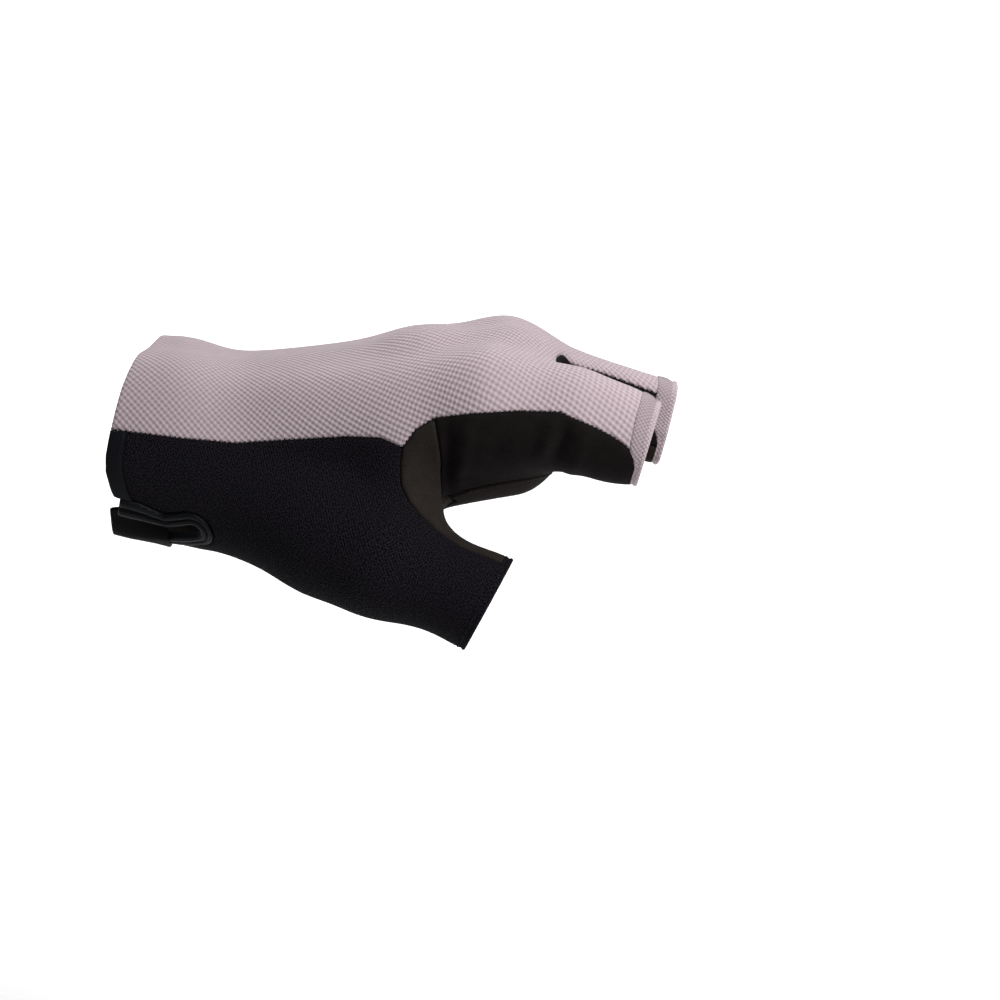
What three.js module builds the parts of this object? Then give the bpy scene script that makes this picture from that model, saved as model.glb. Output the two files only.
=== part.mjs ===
// Short-finger cycling glove for the left hand, in the rounded shape that it has when worn.
// X runs from the wrist to the fingertips, Y from the thumb side to the little finger,
// and Z up through the back of the hand. All sizes are in millimetres.
// The form is a smooth union of round limbs. Its surface is cut along the seams into panels,
// and each panel is then given its own thickness.
import * as THREE from 'three';

// Driving sizes
const WALL = 1.5;
const SEAM_GAP = 0.3;
const GRID = 6;
const GRID_BOX = { x: [-30, 154], y: [-74, 50], z: [-64, 36] };
const SLOT_LINE_OFFSET = 2.86;
const BLEND = 3;
const SLOT_HALF_WIDTH = 1.1;
const SLOT_FLARE = 0.3;
const SLOT_FLARE_HEIGHT = 12;
const SLOT_FLARE_RUN = 10;
const SLOT_ROUNDING = 0.7;
const GUSSET_HALF_HEIGHT = 4.4;
const GUSSET_LEAD = 3;
const HEM_RAISE = 0.45;
const HEM_AT_BACK = 5;
const HEM_AT_PALM = 1.4;
const FINGER_HALF_HEIGHT = 11;
const THUMB_HEM_WIDTH = 1.8;
const CUFF_BINDING_WIDTH = 3.8;
const BINDING_RAISE = 0.6;
const STRAP_THICKNESS = 1.0;
const STRAP_LEFT = -7.8;
const STRAP_RIGHT = 7.6;
const STRAP_TUCK = 5;
const STRAP_CROSSING = 0.8;
const STRAP_TAPER = 5;
const STRAP_TAPER_FROM = -2.5;
const STRAP_TAPER_TO = 1.5;
const STRAP_END_ARC = 54;
const STRAP_STEPS_ACROSS = 5;
const STRAP_STEPS_ALONG = 15;
const HEM_STEPS = 16;
const CUFF_STEPS = 32;
const RIM_ROWS = 1;
const RANGE_STEEPNESS = 20;
const LEAST_SHARE = 0.02;
const FAR = 1000;
const LEVEL_ROUNDS = 5;
const CAST_ROUNDS = 40;
const DEPTH_ROUNDS = 4;
const CAST_SHARE = 0.9;
const TURN_COUNT = 180;
const TURN_HALVINGS = 20;

// Limbs: round cones that run from one centre and radius to another
const LIMBS = [
  { name: 'wrist_radial', from: [-34, -10, 0.8], r0: 23, to: [6, -10, 1], r1: 22 },
  { name: 'wrist_ulnar', from: [-34, 11, 2.6], r0: 23.6, to: [6, 11, 1], r1: 21 },
  { name: 'cuff_palm', from: [4, -12, -3.4], r0: 20.8, to: [12, -12.5, -5], r1: 20.8 },
  { name: 'index_ray', from: [18, -12, 0.5], r0: 16.2, to: [92, -26.5, 13.2], r1: 14.5 },
  { name: 'index_base', from: [92, -26.5, 13.2], r0: 14.5, to: [113, -28.7, 11.9], r1: 11.3 },
  { name: 'index_middle', from: [113, -28.7, 11.9], r0: 11.3, to: [126, -29.3, 7.5], r1: 10.5 },
  { name: 'index_end', from: [126, -29.3, 7.5], r0: 10.5, to: [152, -30, -0.6], r1: 8.6 },
  { name: 'middle_ray', from: [18, -4, 1.2], r0: 15.5, to: [76, -7, 13.8], r1: 14 },
  { name: 'middle_knuckle', from: [76, -7, 13.8], r0: 14, to: [98, -8, 15.5], r1: 13.2 },
  { name: 'middle_end', from: [98, -8, 15.5], r0: 13.2, to: [156, -8.5, 0], r1: 10.2 },
  { name: 'ring_ray', from: [18, 5, 1], r0: 15.3, to: [74, 10.4, 10.3], r1: 13.1 },
  { name: 'ring_knuckle', from: [74, 10.4, 10.3], r0: 13.1, to: [96, 12, 13], r1: 12.8 },
  { name: 'ring_end', from: [96, 12, 13], r0: 12.8, to: [150, 12.5, -8], r1: 9.8 },
  { name: 'little_ray', from: [18, 13, -1], r0: 15.3, to: [86, 30, 6.5], r1: 11.5 },
  { name: 'little_end', from: [86, 30, 6.5], r0: 11.5, to: [136, 31.5, -13], r1: 9 },
  { name: 'thenar_heel', from: [24, -19, -9.7], r0: 17.2, to: [50, -33.3, -18.4], r1: 14.8 },
  { name: 'thenar_top', from: [50, -33.3, -18.4], r0: 14.8, to: [64, -41, -22.2], r1: 14 },
  { name: 'thumb_base', from: [64, -41, -22.2], r0: 13.8, to: [92, -48, -32.8], r1: 11.2 },
  { name: 'thumb_end', from: [92, -48, -32.8], r0: 11.2, to: [112, -53, -45.6], r1: 10.2 },
  { name: 'thumb_web', from: [70, -28, 4], r0: 9.5, to: [68, -41, -21], r1: 9.4 },
  { name: 'palm_heel', from: [20, 12, -6], r0: 15, to: [60, 26, -4], r1: 13 },
  { name: 'palm_pad', from: [60, -20, -5.6], r0: 12.4, to: [97, -18, 0.6], r1: 12.7 },
];

// The limbs that carry each finger, from the wrist outward
const FINGERS = {
  index: ['index_ray', 'index_base', 'index_middle', 'index_end'],
  middle: ['middle_ray', 'middle_knuckle', 'middle_end'],
  ring: ['ring_ray', 'ring_knuckle', 'ring_end'],
  little: ['little_ray', 'little_end'],
};

// Gaps between neighbouring fingers: y of the middle of the gap, x of the web at its foot.
// Above its height at the web, which falls towards the fingertips, a gap opens like a V.
const SLOTS = [
  { name: 'index_middle', between: ['index', 'middle'], y: -18.3, web: 112, height: 12, fall: 0.27 },
  { name: 'middle_ring', between: ['middle', 'ring'], y: 2.2, web: 114, height: 8.6, fall: 0.33 },
  { name: 'ring_little', between: ['ring', 'little'], y: 21.8, web: 104, height: 4.7, fall: 0.39 },
];

// Open ends: a point on each end's plane and the direction that points out of the glove.
// An end acts only inside its own range of x, y and z.
const ENDS = {
  cuff: { at: [-2.3, 0, 0], out: [-1, 0.119, 0.165], range: {} },
  index: { at: [134.4, -29, 6], out: [1, 0, -0.28], range: { xMin: 100, yMax: -18.3, zMin: -14 } },
  middle: { at: [139.6, -8, 5], out: [1, 0, -0.26], range: { xMin: 100, yMin: -18.3, yMax: 2.2 } },
  ring: { at: [134, 12, 0], out: [1, 0, -0.3], range: { xMin: 100, yMin: 2.2, yMax: 21.8 } },
  little: { at: [118, 30, -6], out: [1, 0, -0.3], range: { xMin: 100, yMin: 21.8 } },
  thumb: { at: [90.6, -48, -36], out: [0.8, -0.15, -0.41], range: { xMin: 60, yMax: -25, zMax: -14 } },
};

// Curve of the cuff's edge: how far it lies past its plane at each height. The curve is full on
// the thumb side of CUFF_CURVE_SIDE and has run out by CUFF_CURVE_FADE beyond it.
const CUFF_CURVE = [
  { z: -22, past: -1.2 },
  { z: -16, past: -2.3 },
  { z: -10.5, past: -2.6 },
  { z: -6.7, past: -0.6 },
  { z: -1.2, past: 1.4 },
  { z: 3, past: 2 },
  { z: 19, past: 2 },
  { z: 24, past: 1.6 },
];
const CUFF_CURVE_SIDE = -10;
const CUFF_CURVE_FADE = 20;

// Side drawing: the glove seen from the thumb side, a little from above.
// Its sheet goes through SHEET_CENTRE, and seams that show from there are given on it.
const SHEET_TILT = THREE.MathUtils.degToRad(18);
const SHEET_DISTANCE = 1100;
const SHEET_CENTRE = { x: 95, up: -18.9 };

// Seam between the knitted back and the dark pieces on the thumb side
const BACK_SEAM = [
  { along: -9.4, up: 0 },
  { along: 8.6, up: -2.2 },
  { along: 23.5, up: -3.5 },
  { along: 53.2, up: -1.9 },
  { along: 62.6, up: -2.2 },
  { along: 68.6, up: -4.9 },
  { along: 72.1, up: 0 },
  { along: 77.2, up: 3.2 },
  { along: 86.9, up: 4.3 },
  { along: 100.4, up: 5.1 },
  { along: 111.2, up: 4.8 },
  { along: 115, up: 3 },
  { along: 119.9, up: 0.9 },
  { along: 124.7, up: -1.5 },
  { along: 128.5, up: -4 },
  { along: 131, up: -6.4 },
  { along: 132.3, up: -9.7 },
  { along: 133.2, up: -16 },
];
const BACK_SEAM_SIDE = -26;

// Seam between the thumb panel and the patch in the crotch of the thumb
const CROTCH_SEAM = [
  { up: -40, along: 112 },
  { up: -33.2, along: 92.3 },
  { up: -30, along: 84.2 },
  { up: -27.3, along: 78.8 },
  { up: -23.5, along: 74.5 },
  { up: -19.2, along: 70.7 },
  { up: -14.9, along: 68.3 },
  { up: -8.9, along: 68 },
  { up: -5.4, along: 68.6 },
];
const CROTCH_END = { x: 84, z: -16 };
const CROTCH_PALM_PLANE = { y: -25.4, perZ: 0.28 };

// Patch along the inner side of the thumb, as a turn about the thumb's axis in degrees
const THUMB_AXIS = { from: [64, -41, -22.2], to: [112, -53, -45.6] };
const THUMB_INNER = { middle: 150, half: 72, radius: 12, xMin: 74 };

// Fold where the patch ends and the side panel of the index finger starts
const INDEX_FOLD = [
  { up: -26, along: 150 },
  { up: -23, along: 79.7 },
  { up: -14.8, along: 79.9 },
  { up: -6.7, along: 78.8 },
  { up: 3.2, along: 77.2 },
];

// Seam between the side panel of the index finger and the palm: first in the side drawing,
// then along the underside of the finger
const INDEX_PALM_SEAM = [
  { along: 77, up: -20 },
  { along: 86.9, up: -16.2 },
  { along: 95, up: -14.6 },
  { along: 111.2, up: -11.6 },
  { along: 117, up: -60 },
];
const INDEX_UNDER_SEAM = [
  { x: 77, y: -20 },
  { x: 105, y: -22 },
  { x: 112, y: -27 },
  { x: 120, y: -29.5 },
];

// Seam between the thumb panel and the palm, along the underside
const THUMB_PALM_SEAM = [
  { x: -12, y: -3 },
  { x: 8, y: -12 },
  { x: 20, y: -17 },
  { x: 45, y: -26 },
  { x: 64, y: -34 },
  { x: 70, y: -33 },
];

// Slit in the cuff, on the wrist unrolled about the axis below: x, and arc length down from
// the thumb side. Two round-ended wedges make the keyhole.
const WRIST_AXIS = { y: -11, z: -2 };
const WRIST_RADIUS = 25;
const SLIT = [
  { x: 14.4, arc: 15.6, r: 2.2 },
  { x: 8, arc: 19, r: 2.6 },
  { x: -12, arc: 23.5, r: 10.4 },
];
const CUFF_BAND_SPLIT = -18;
const SLIT_BAND = [
  { x: -8, width: 8 },
  { x: 0, width: 7.2 },
  { x: 8, width: 4.2 },
  { x: 16, width: 3.2 },
];

// Looks of the pieces
const LOOKS = {
  knit: { color: '#b8a9af', roughness: 0.9, metalness: 0 },
  terry: { color: '#171519', roughness: 0.95, metalness: 0 },
  suede: { color: '#262121', roughness: 0.9, metalness: 0 },
  elastic: { color: '#131215', roughness: 0.6, metalness: 0 },
  webbing: { color: '#100f0f', roughness: 0.8, metalness: 0 },
};

// Small vector helpers on [x, y, z]
const add = (a, b) => [a[0] + b[0], a[1] + b[1], a[2] + b[2]];
const sub = (a, b) => [a[0] - b[0], a[1] - b[1], a[2] - b[2]];
const scale = (a, s) => [a[0] * s, a[1] * s, a[2] * s];
const dot = (a, b) => a[0] * b[0] + a[1] * b[1] + a[2] * b[2];
const cross = (a, b) => [
  a[1] * b[2] - a[2] * b[1],
  a[2] * b[0] - a[0] * b[2],
  a[0] * b[1] - a[1] * b[0],
];
const unit = (a) => scale(a, 1 / Math.hypot(...a));
const mix = (a, b, t) => a + (b - a) * t;
const mixPoints = (a, b, t) => [mix(a[0], b[0], t), mix(a[1], b[1], t), mix(a[2], b[2], t)];
const clamp01 = (t) => Math.min(Math.max(t, 0), 1);

// Value of column `give` where column `by` has the value `at`; rows are sorted by `by`
function lookUp(rows, by, give, at) {
  for (let i = 1; i < rows.length; i++) {
    const [low, high] = [rows[i - 1], rows[i]];
    if (at <= high[by] || i === rows.length - 1) {
      const t = clamp01((at - low[by]) / (high[by] - low[by]));
      return mix(low[give], high[give], t);
    }
  }
  return rows[0][give];
}

// Form of the glove's outer surface: negative inside, and nearly a distance close to it
function limbDistance(p, limb) {
  const axis = sub(limb.to, limb.from);
  const t = clamp01(dot(sub(p, limb.from), axis) / dot(axis, axis));
  const centre = mixPoints(limb.from, limb.to, t);
  return Math.hypot(...sub(p, centre)) - mix(limb.r0, limb.r1, t);
}

function softMax(a, b, width) {
  const top = Math.max(a, b);
  return top + width * Math.log(Math.exp((a - top) / width) + Math.exp((b - top) / width));
}

function slotHalfWidth(slot, p) {
  const run = p[0] - slot.web;
  const rise = clamp01((p[2] - slot.height + slot.fall * run) / SLOT_FLARE_HEIGHT) * SLOT_FLARE_HEIGHT;
  return SLOT_HALF_WIDTH + SLOT_FLARE * rise * clamp01(run / SLOT_FLARE_RUN);
}

function form(p) {
  let sum = 0;
  for (const limb of LIMBS) {
    sum += Math.exp(-limbDistance(p, limb) / BLEND);
  }
  let value = -BLEND * Math.log(sum);
  for (const slot of SLOTS) {
    const aside = Math.abs(p[1] - slot.y) - slotHalfWidth(slot, p);
    const gap = softMax(aside, slot.web - p[0], SLOT_ROUNDING);
    value = softMax(value, -gap, SLOT_ROUNDING);
  }
  return value;
}

function gradient(fn, p) {
  const step = 0.05;
  return [0, 1, 2].map((axis) => {
    const side = [0, 0, 0];
    side[axis] = step;
    return (fn(add(p, side)) - fn(sub(p, side))) / (2 * step);
  });
}

// Moves a point along the gradient until the form has the value `level` there
function toLevel(p, level) {
  let point = p;
  for (let i = 0; i < LEVEL_ROUNDS; i++) {
    const slope = gradient(form, point);
    const off = form(point) - level;
    point = sub(point, scale(slope, off / Math.max(dot(slope, slope), 1e-4)));
  }
  return point;
}

// Grid lines with an even spacing, and closer ones about each gap between fingers
function gridLines(from, to, fixed = []) {
  const stops = [from, ...fixed, to];
  const lines = [from];
  for (let i = 1; i < stops.length; i++) {
    const count = Math.max(1, Math.round((stops[i] - stops[i - 1]) / GRID));
    for (let k = 1; k <= count; k++) {
      lines.push(mix(stops[i - 1], stops[i], k / count));
    }
  }
  return lines;
}

// Surface nets: one vertex in each cell that the surface passes through
function meshForm() {
  const slotLines = SLOTS.flatMap(({ y }) => [y - SLOT_LINE_OFFSET, y, y + SLOT_LINE_OFFSET]);
  const xs = gridLines(...GRID_BOX.x);
  const ys = gridLines(...GRID_BOX.y, slotLines);
  const zs = gridLines(...GRID_BOX.z);
  const size = [xs.length, ys.length, zs.length];
  const index = (i, j, k) => (i * size[1] + j) * size[2] + k;
  const values = new Float64Array(size[0] * size[1] * size[2]);
  xs.forEach((x, i) => ys.forEach((y, j) => zs.forEach((z, k) => {
    values[index(i, j, k)] = form([x, y, z]);
  })));
  const vertices = [];
  const cellVertex = new Map();
  const corners = [0, 1, 2, 3, 4, 5, 6, 7].map((n) => [n & 1, (n >> 1) & 1, (n >> 2) & 1]);
  const edges = [];
  corners.forEach((a, i) => corners.forEach((b, j) => {
    if (i < j && Math.abs(a[0] - b[0]) + Math.abs(a[1] - b[1]) + Math.abs(a[2] - b[2]) === 1) {
      edges.push([a, b]);
    }
  }));
  const place = (i, j, k, corner) => [xs[i + corner[0]], ys[j + corner[1]], zs[k + corner[2]]];
  for (let i = 0; i < size[0] - 1; i++) {
    for (let j = 0; j < size[1] - 1; j++) {
      for (let k = 0; k < size[2] - 1; k++) {
        let sum = [0, 0, 0];
        let count = 0;
        for (const [a, b] of edges) {
          const fa = values[index(i + a[0], j + a[1], k + a[2])];
          const fb = values[index(i + b[0], j + b[1], k + b[2])];
          if ((fa < 0) !== (fb < 0)) {
            sum = add(sum, mixPoints(place(i, j, k, a), place(i, j, k, b), fa / (fa - fb)));
            count += 1;
          }
        }
        if (count > 0) {
          cellVertex.set(index(i, j, k), vertices.length);
          vertices.push(toLevel(scale(sum, 1 / count), 0));
        }
      }
    }
  }
  const triangles = [];
  const steps = [[1, 0, 0], [0, 1, 0], [0, 0, 1]];
  for (let i = 1; i < size[0] - 1; i++) {
    for (let j = 1; j < size[1] - 1; j++) {
      for (let k = 1; k < size[2] - 1; k++) {
        for (let axis = 0; axis < 3; axis++) {
          const here = values[index(i, j, k)] < 0;
          const step = steps[axis];
          const there = values[index(i + step[0], j + step[1], k + step[2])] < 0;
          if (here === there) continue;
          const u = steps[(axis + 1) % 3];
          const v = steps[(axis + 2) % 3];
          const ring = [[1, 1], [0, 1], [0, 0], [1, 0]].map(([du, dv]) => cellVertex.get(
            index(i - du * u[0] - dv * v[0], j - du * u[1] - dv * v[1], k - du * u[2] - dv * v[2]),
          ));
          if (!here) ring.reverse();
          triangles.push([ring[0], ring[1], ring[2]], [ring[0], ring[2], ring[3]]);
        }
      }
    }
  }
  return { vertices, triangles };
}

// A point's place on the side drawing
function drawn(p) {
  const up = (p[2] - SHEET_CENTRE.up / Math.cos(SHEET_TILT)) * Math.cos(SHEET_TILT)
    + p[1] * Math.sin(SHEET_TILT);
  const back = p[1] * Math.cos(SHEET_TILT)
    - (p[2] - SHEET_CENTRE.up / Math.cos(SHEET_TILT)) * Math.sin(SHEET_TILT);
  const shrink = SHEET_DISTANCE / (SHEET_DISTANCE + back);
  return {
    along: SHEET_CENTRE.x + (p[0] - SHEET_CENTRE.x) * shrink,
    up: SHEET_CENTRE.up + up * shrink,
  };
}

// Turns a function of space into millimetres measured along the surface
function onSurface(fn) {
  const leastSlope = 0.3;
  return (p) => {
    const normal = unit(gradient(form, p));
    const slope = gradient(fn, p);
    const flat = sub(slope, scale(normal, dot(slope, normal)));
    return fn(p) / Math.max(Math.hypot(...flat), leastSlope);
  };
}

// Centre line of a finger at one x
function fingerAxis(finger, x) {
  const limbs = FINGERS[finger].map((name) => LIMBS.find((limb) => limb.name === name));
  const limb = limbs.find((one) => x <= one.to[0]) ?? limbs[limbs.length - 1];
  const t = Math.max((x - limb.from[0]) / (limb.to[0] - limb.from[0]), 0);
  const [, y, z] = mixPoints(limb.from, limb.to, t);
  return { y, z };
}

// Height above the centre lines of the fingers and of the rays behind them
function aboveFingers(p) {
  const axes = Object.keys(FINGERS).map((finger) => fingerAxis(finger, p[0]));
  return p[2] - lookUp(axes, 'y', 'z', p[1]);
}

// Distance inside an open end, and how far a point is outside the end's own range. The range
// counts many times over, so that next to its limits the distance alone decides.
function insideEnd(end, p) {
  const inside = -dot(sub(p, end.at), unit(end.out));
  if (end !== ENDS.cuff) return inside;
  const share = clamp01(1 - (p[1] - CUFF_CURVE_SIDE) / CUFF_CURVE_FADE);
  return inside + share * lookUp(CUFF_CURVE, 'z', 'past', p[2]);
}

function outsideRange(end, p) {
  const { xMin, yMin, yMax, zMin, zMax } = end.range;
  return RANGE_STEEPNESS * Math.max(
    (xMin ?? -Infinity) - p[0],
    (yMin ?? -Infinity) - p[1],
    p[1] - (yMax ?? Infinity),
    (zMin ?? -Infinity) - p[2],
    p[2] - (zMax ?? Infinity),
  );
}

// Distance to the keyhole slit on the unrolled wrist
function slitDistance(p) {
  const arc = WRIST_RADIUS * Math.atan2(WRIST_AXIS.z - p[2], WRIST_AXIS.y - p[1]);
  let nearest = Infinity;
  for (let i = 1; i < SLIT.length; i++) {
    const [a, b] = [SLIT[i - 1], SLIT[i]];
    const axis = [b.x - a.x, b.arc - a.arc];
    const t = clamp01(((p[0] - a.x) * axis[0] + (arc - a.arc) * axis[1]) / (axis[0] ** 2 + axis[1] ** 2));
    const gap = Math.hypot(p[0] - mix(a.x, b.x, t), arc - mix(a.arc, b.arc, t));
    nearest = Math.min(nearest, gap - mix(a.r, b.r, t));
  }
  return nearest;
}

// Turn about the thumb's axis: 0 towards the thumb side, 90 up
function innerThumb(p) {
  const axis = unit(sub(THUMB_AXIS.to, THUMB_AXIS.from));
  const outward = unit(sub([0, -1, 0], scale(axis, -axis[1])));
  const upward = cross(outward, axis);
  const off = sub(p, THUMB_AXIS.from);
  const turn = THREE.MathUtils.radToDeg(Math.atan2(dot(off, upward), dot(off, outward)));
  const away = Math.abs(((turn - THUMB_INNER.middle + 540) % 360) - 180);
  const arc = THREE.MathUtils.degToRad(THUMB_INNER.half - away) * THUMB_INNER.radius;
  return Math.min(arc, p[0] - THUMB_INNER.xMin);
}

// The areas that the seams bound. Each is positive inside its area, in millimetres.
function fingerHemWidth(finger) {
  return (p) => {
    const height = p[2] - fingerAxis(finger, p[0]).z;
    return mix(HEM_AT_PALM, HEM_AT_BACK, clamp01(0.5 + height / (2 * FINGER_HALF_HEIGHT)));
  };
}

function hem(end, width) {
  return (p) => Math.min(width(p) - insideEnd(end, p), -outsideRange(end, p));
}

function gusset(slot) {
  return (p) => {
    const axes = slot.between.map((finger) => fingerAxis(finger, p[0]));
    const height = Math.abs(p[2] - lookUp(axes, 'y', 'z', p[1]));
    return Math.min(
      GUSSET_HALF_HEIGHT - height,
      p[0] - slot.web + GUSSET_LEAD,
      p[1] - axes[0].y,
      axes[1].y - p[1],
    );
  };
}

const backSeam = onSurface((p) => {
  const at = drawn(p);
  return at.up - lookUp(BACK_SEAM, 'along', 'up', at.along);
});
const ulnarSeam = onSurface(aboveFingers);
const knitArea = (p) => Math.min(backSeam(p), Math.max(ulnarSeam(p), BACK_SEAM_SIDE - p[1]));

const slitBand = (p) => lookUp(SLIT_BAND, 'x', 'width', p[0]) - slitDistance(p);
const slitBandMiddle = (p) => lookUp(SLIT_BAND, 'x', 'width', p[0]) / 2 - slitDistance(p);

// Sides of the cuff binding: it stops at the knit and at the band round the slit
const darkCuff = (p) => Math.min(-knitArea(p), -slitBand(p));
const thumbCuff = (p) => Math.min(darkCuff(p), CUFF_BAND_SPLIT - p[1]);
const palmCuff = (p) => Math.min(darkCuff(p), p[1] - CUFF_BAND_SPLIT);
const cuffBand = (p) => CUFF_BINDING_WIDTH - insideEnd(ENDS.cuff, p);

const indexFold = onSurface((p) => {
  const at = drawn(p);
  return at.along - lookUp(INDEX_FOLD, 'up', 'along', at.up);
});
const indexPalmSeam = onSurface((p) => {
  const at = drawn(p);
  return at.up - lookUp(INDEX_PALM_SEAM, 'along', 'up', at.along);
});
const indexUnderSeam = onSurface((p) => lookUp(INDEX_UNDER_SEAM, 'x', 'y', p[0]) - p[1]);
const indexSide = (p) => Math.min(indexFold(p), indexPalmSeam(p), indexUnderSeam(p));

const crotchSeam = onSurface((p) => {
  const at = drawn(p);
  return at.along - lookUp(CROTCH_SEAM, 'up', 'along', at.up);
});
const crotchPalmSeam = onSurface((p) => CROTCH_PALM_PLANE.y + CROTCH_PALM_PLANE.perZ * p[2] - p[1]);

function crotch(p) {
  const reach = Math.max(CROTCH_END.z - p[2], CROTCH_END.x - p[0]);
  return Math.min(Math.max(crotchSeam(p), innerThumb(p)), crotchPalmSeam(p), reach);
}

const thumbSide = onSurface((p) => lookUp(THUMB_PALM_SEAM, 'x', 'y', p[0]) - p[1]);

// Bands along the open ends. Each goes round its end from `side` to `side`, or all the way.
const RIMS = [
  ...Object.keys(FINGERS).map((finger) => (
    { name: `${finger}_hem`, end: ENDS[finger], width: fingerHemWidth(finger), look: LOOKS.knit }
  )),
  { name: 'thumb_hem', end: ENDS.thumb, width: () => THUMB_HEM_WIDTH, look: LOOKS.elastic },
  { name: 'cuff_binding_thumb', end: ENDS.cuff, side: thumbCuff, look: LOOKS.elastic },
  { name: 'cuff_binding_palm', end: ENDS.cuff, side: palmCuff, look: LOOKS.elastic },
];

// Every panel in the order in which the areas are given out: an area leaves out those before it.
// The area without a name is the cuff's binding, which is a band along an open end.
const PANELS = [
  { name: 'slit_binding', area: slitBand, look: LOOKS.elastic, raise: BINDING_RAISE },
  ...SLOTS.map((slot) => (
    { name: `${slot.name}_gusset`, area: gusset(slot), look: LOOKS.suede, raise: 0 }
  )),
  { name: 'back_panel', area: knitArea, look: LOOKS.knit, raise: 0 },
  { area: cuffBand },
  { name: 'index_side_panel', area: indexSide, look: LOOKS.suede, raise: 0 },
  { name: 'thumb_crotch_patch', area: crotch, look: LOOKS.suede, raise: 0 },
  { name: 'thumb_panel', area: thumbSide, look: LOOKS.terry, raise: 0 },
  { name: 'palm_panel', area: () => FAR, look: LOOKS.suede, raise: 0 },
];

// Areas of the hems
const HEM_AREAS = [
  ...Object.keys(FINGERS).map((finger) => hem(ENDS[finger], fingerHemWidth(finger))),
  hem(ENDS.thumb, () => THUMB_HEM_WIDTH),
];

// How far a point is inside the cloth: clear of the open ends and of the slit
function cloth(p) {
  const ends = Object.values(ENDS).map((end) => (
    Math.max(insideEnd(end, p), end === ENDS.cuff ? -Infinity : outsideRange(end, p))
  ));
  return Math.min(slitDistance(p), ...ends);
}

// Splits a mesh along the line where one of its fields passes `level`. A field holds one value
// for each vertex, and every field is carried over to the new vertices.
function split(mesh, field, level) {
  const vertices = [...mesh.vertices];
  const fields = mesh.fields.map((values) => [...values]);
  const values = mesh.fields[field];
  const made = new Map();
  const onEdge = (a, b) => {
    const [low, high] = a < b ? [a, b] : [b, a];
    const key = `${low}_${high}`;
    if (!made.has(key)) {
      const t = (level - values[low]) / (values[high] - values[low]);
      const spot = Math.min(Math.max(t, LEAST_SHARE), 1 - LEAST_SHARE);
      made.set(key, vertices.length);
      vertices.push(toLevel(mixPoints(mesh.vertices[low], mesh.vertices[high], spot), 0));
      fields.forEach((one) => one.push(mix(one[low], one[high], spot)));
    }
    return made.get(key);
  };
  const sides = { above: [], below: [] };
  for (const triangle of mesh.triangles) {
    for (const [side, isHere] of [['above', (v) => v > level], ['below', (v) => v <= level]]) {
      const outline = [];
      triangle.forEach((a, i) => {
        const b = triangle[(i + 1) % 3];
        if (isHere(values[a])) outline.push(a);
        if (isHere(values[a]) !== isHere(values[b])) outline.push(onEdge(a, b));
      });
      for (let i = 2; i < outline.length; i++) {
        sides[side].push([outline[0], outline[i - 1], outline[i]]);
      }
    }
  }
  return { vertices, fields, ...sides };
}

// Keeps what is above `level` in a field
function trim(mesh, field, level) {
  const { vertices, fields, above } = split(mesh, field, level);
  return { vertices, fields, triangles: above };
}

// Keeps the largest connected piece of a mesh
function largestPiece(mesh) {
  const parent = mesh.vertices.map((_, i) => i);
  const root = (i) => {
    while (parent[i] !== i) i = parent[i];
    return i;
  };
  for (const [a, b, c] of mesh.triangles) {
    parent[root(b)] = root(a);
    parent[root(c)] = root(a);
  }
  const counts = new Map();
  for (const [a] of mesh.triangles) {
    counts.set(root(a), (counts.get(root(a)) ?? 0) + 1);
  }
  const [best] = [...counts.entries()].sort((one, two) => two[1] - one[1])[0];
  const triangles = mesh.triangles.filter(([a]) => root(a) === best);
  return { vertices: mesh.vertices, triangles };
}

// Closes two matching skins into a solid: the outer one, the inner one turned over, and the rim
function closeSkins(outer, inner, triangles) {
  const count = outer.length;
  const open = new Map();
  for (const [a, b, c] of triangles) {
    for (const [from, to] of [[a, b], [b, c], [c, a]]) {
      if (open.has(`${to}_${from}`)) open.delete(`${to}_${from}`);
      else open.set(`${from}_${to}`, [from, to]);
    }
  }
  const faces = [...triangles];
  for (const [a, b, c] of triangles) {
    faces.push([a + count, c + count, b + count]);
  }
  for (const [from, to] of open.values()) {
    faces.push([to, from, from + count], [to, from + count, to + count]);
  }
  const geometry = new THREE.BufferGeometry();
  const used = [...new Set(faces.flat())].sort((a, b) => a - b);
  const place = new Map(used.map((old, now) => [old, now]));
  const points = [...outer, ...inner];
  const position = used.flatMap((i) => points[i]);
  geometry.setAttribute('position', new THREE.Float32BufferAttribute(position, 3));
  geometry.setIndex(faces.flat().map((i) => place.get(i)));
  geometry.computeVertexNormals();
  return geometry;
}

function thicken(mesh, raise) {
  const outer = mesh.vertices.map((p) => toLevel(p, raise));
  const inner = mesh.vertices.map((p) => toLevel(p, -WALL));
  return closeSkins(outer, inner, mesh.triangles);
}

function piece(name, geometry, look) {
  const mesh = new THREE.Mesh(geometry, new THREE.MeshStandardMaterial(look));
  mesh.name = name;
  return mesh;
}

// The form's surface with vertices along the middle of the slit's band, which is narrow
function scoredForm() {
  const surface = meshForm();
  const line = surface.vertices.map(slitBandMiddle);
  const { vertices, above, below } = split({ ...surface, fields: [line] }, 0, 0);
  return { vertices, triangles: [...above, ...below] };
}

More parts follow.
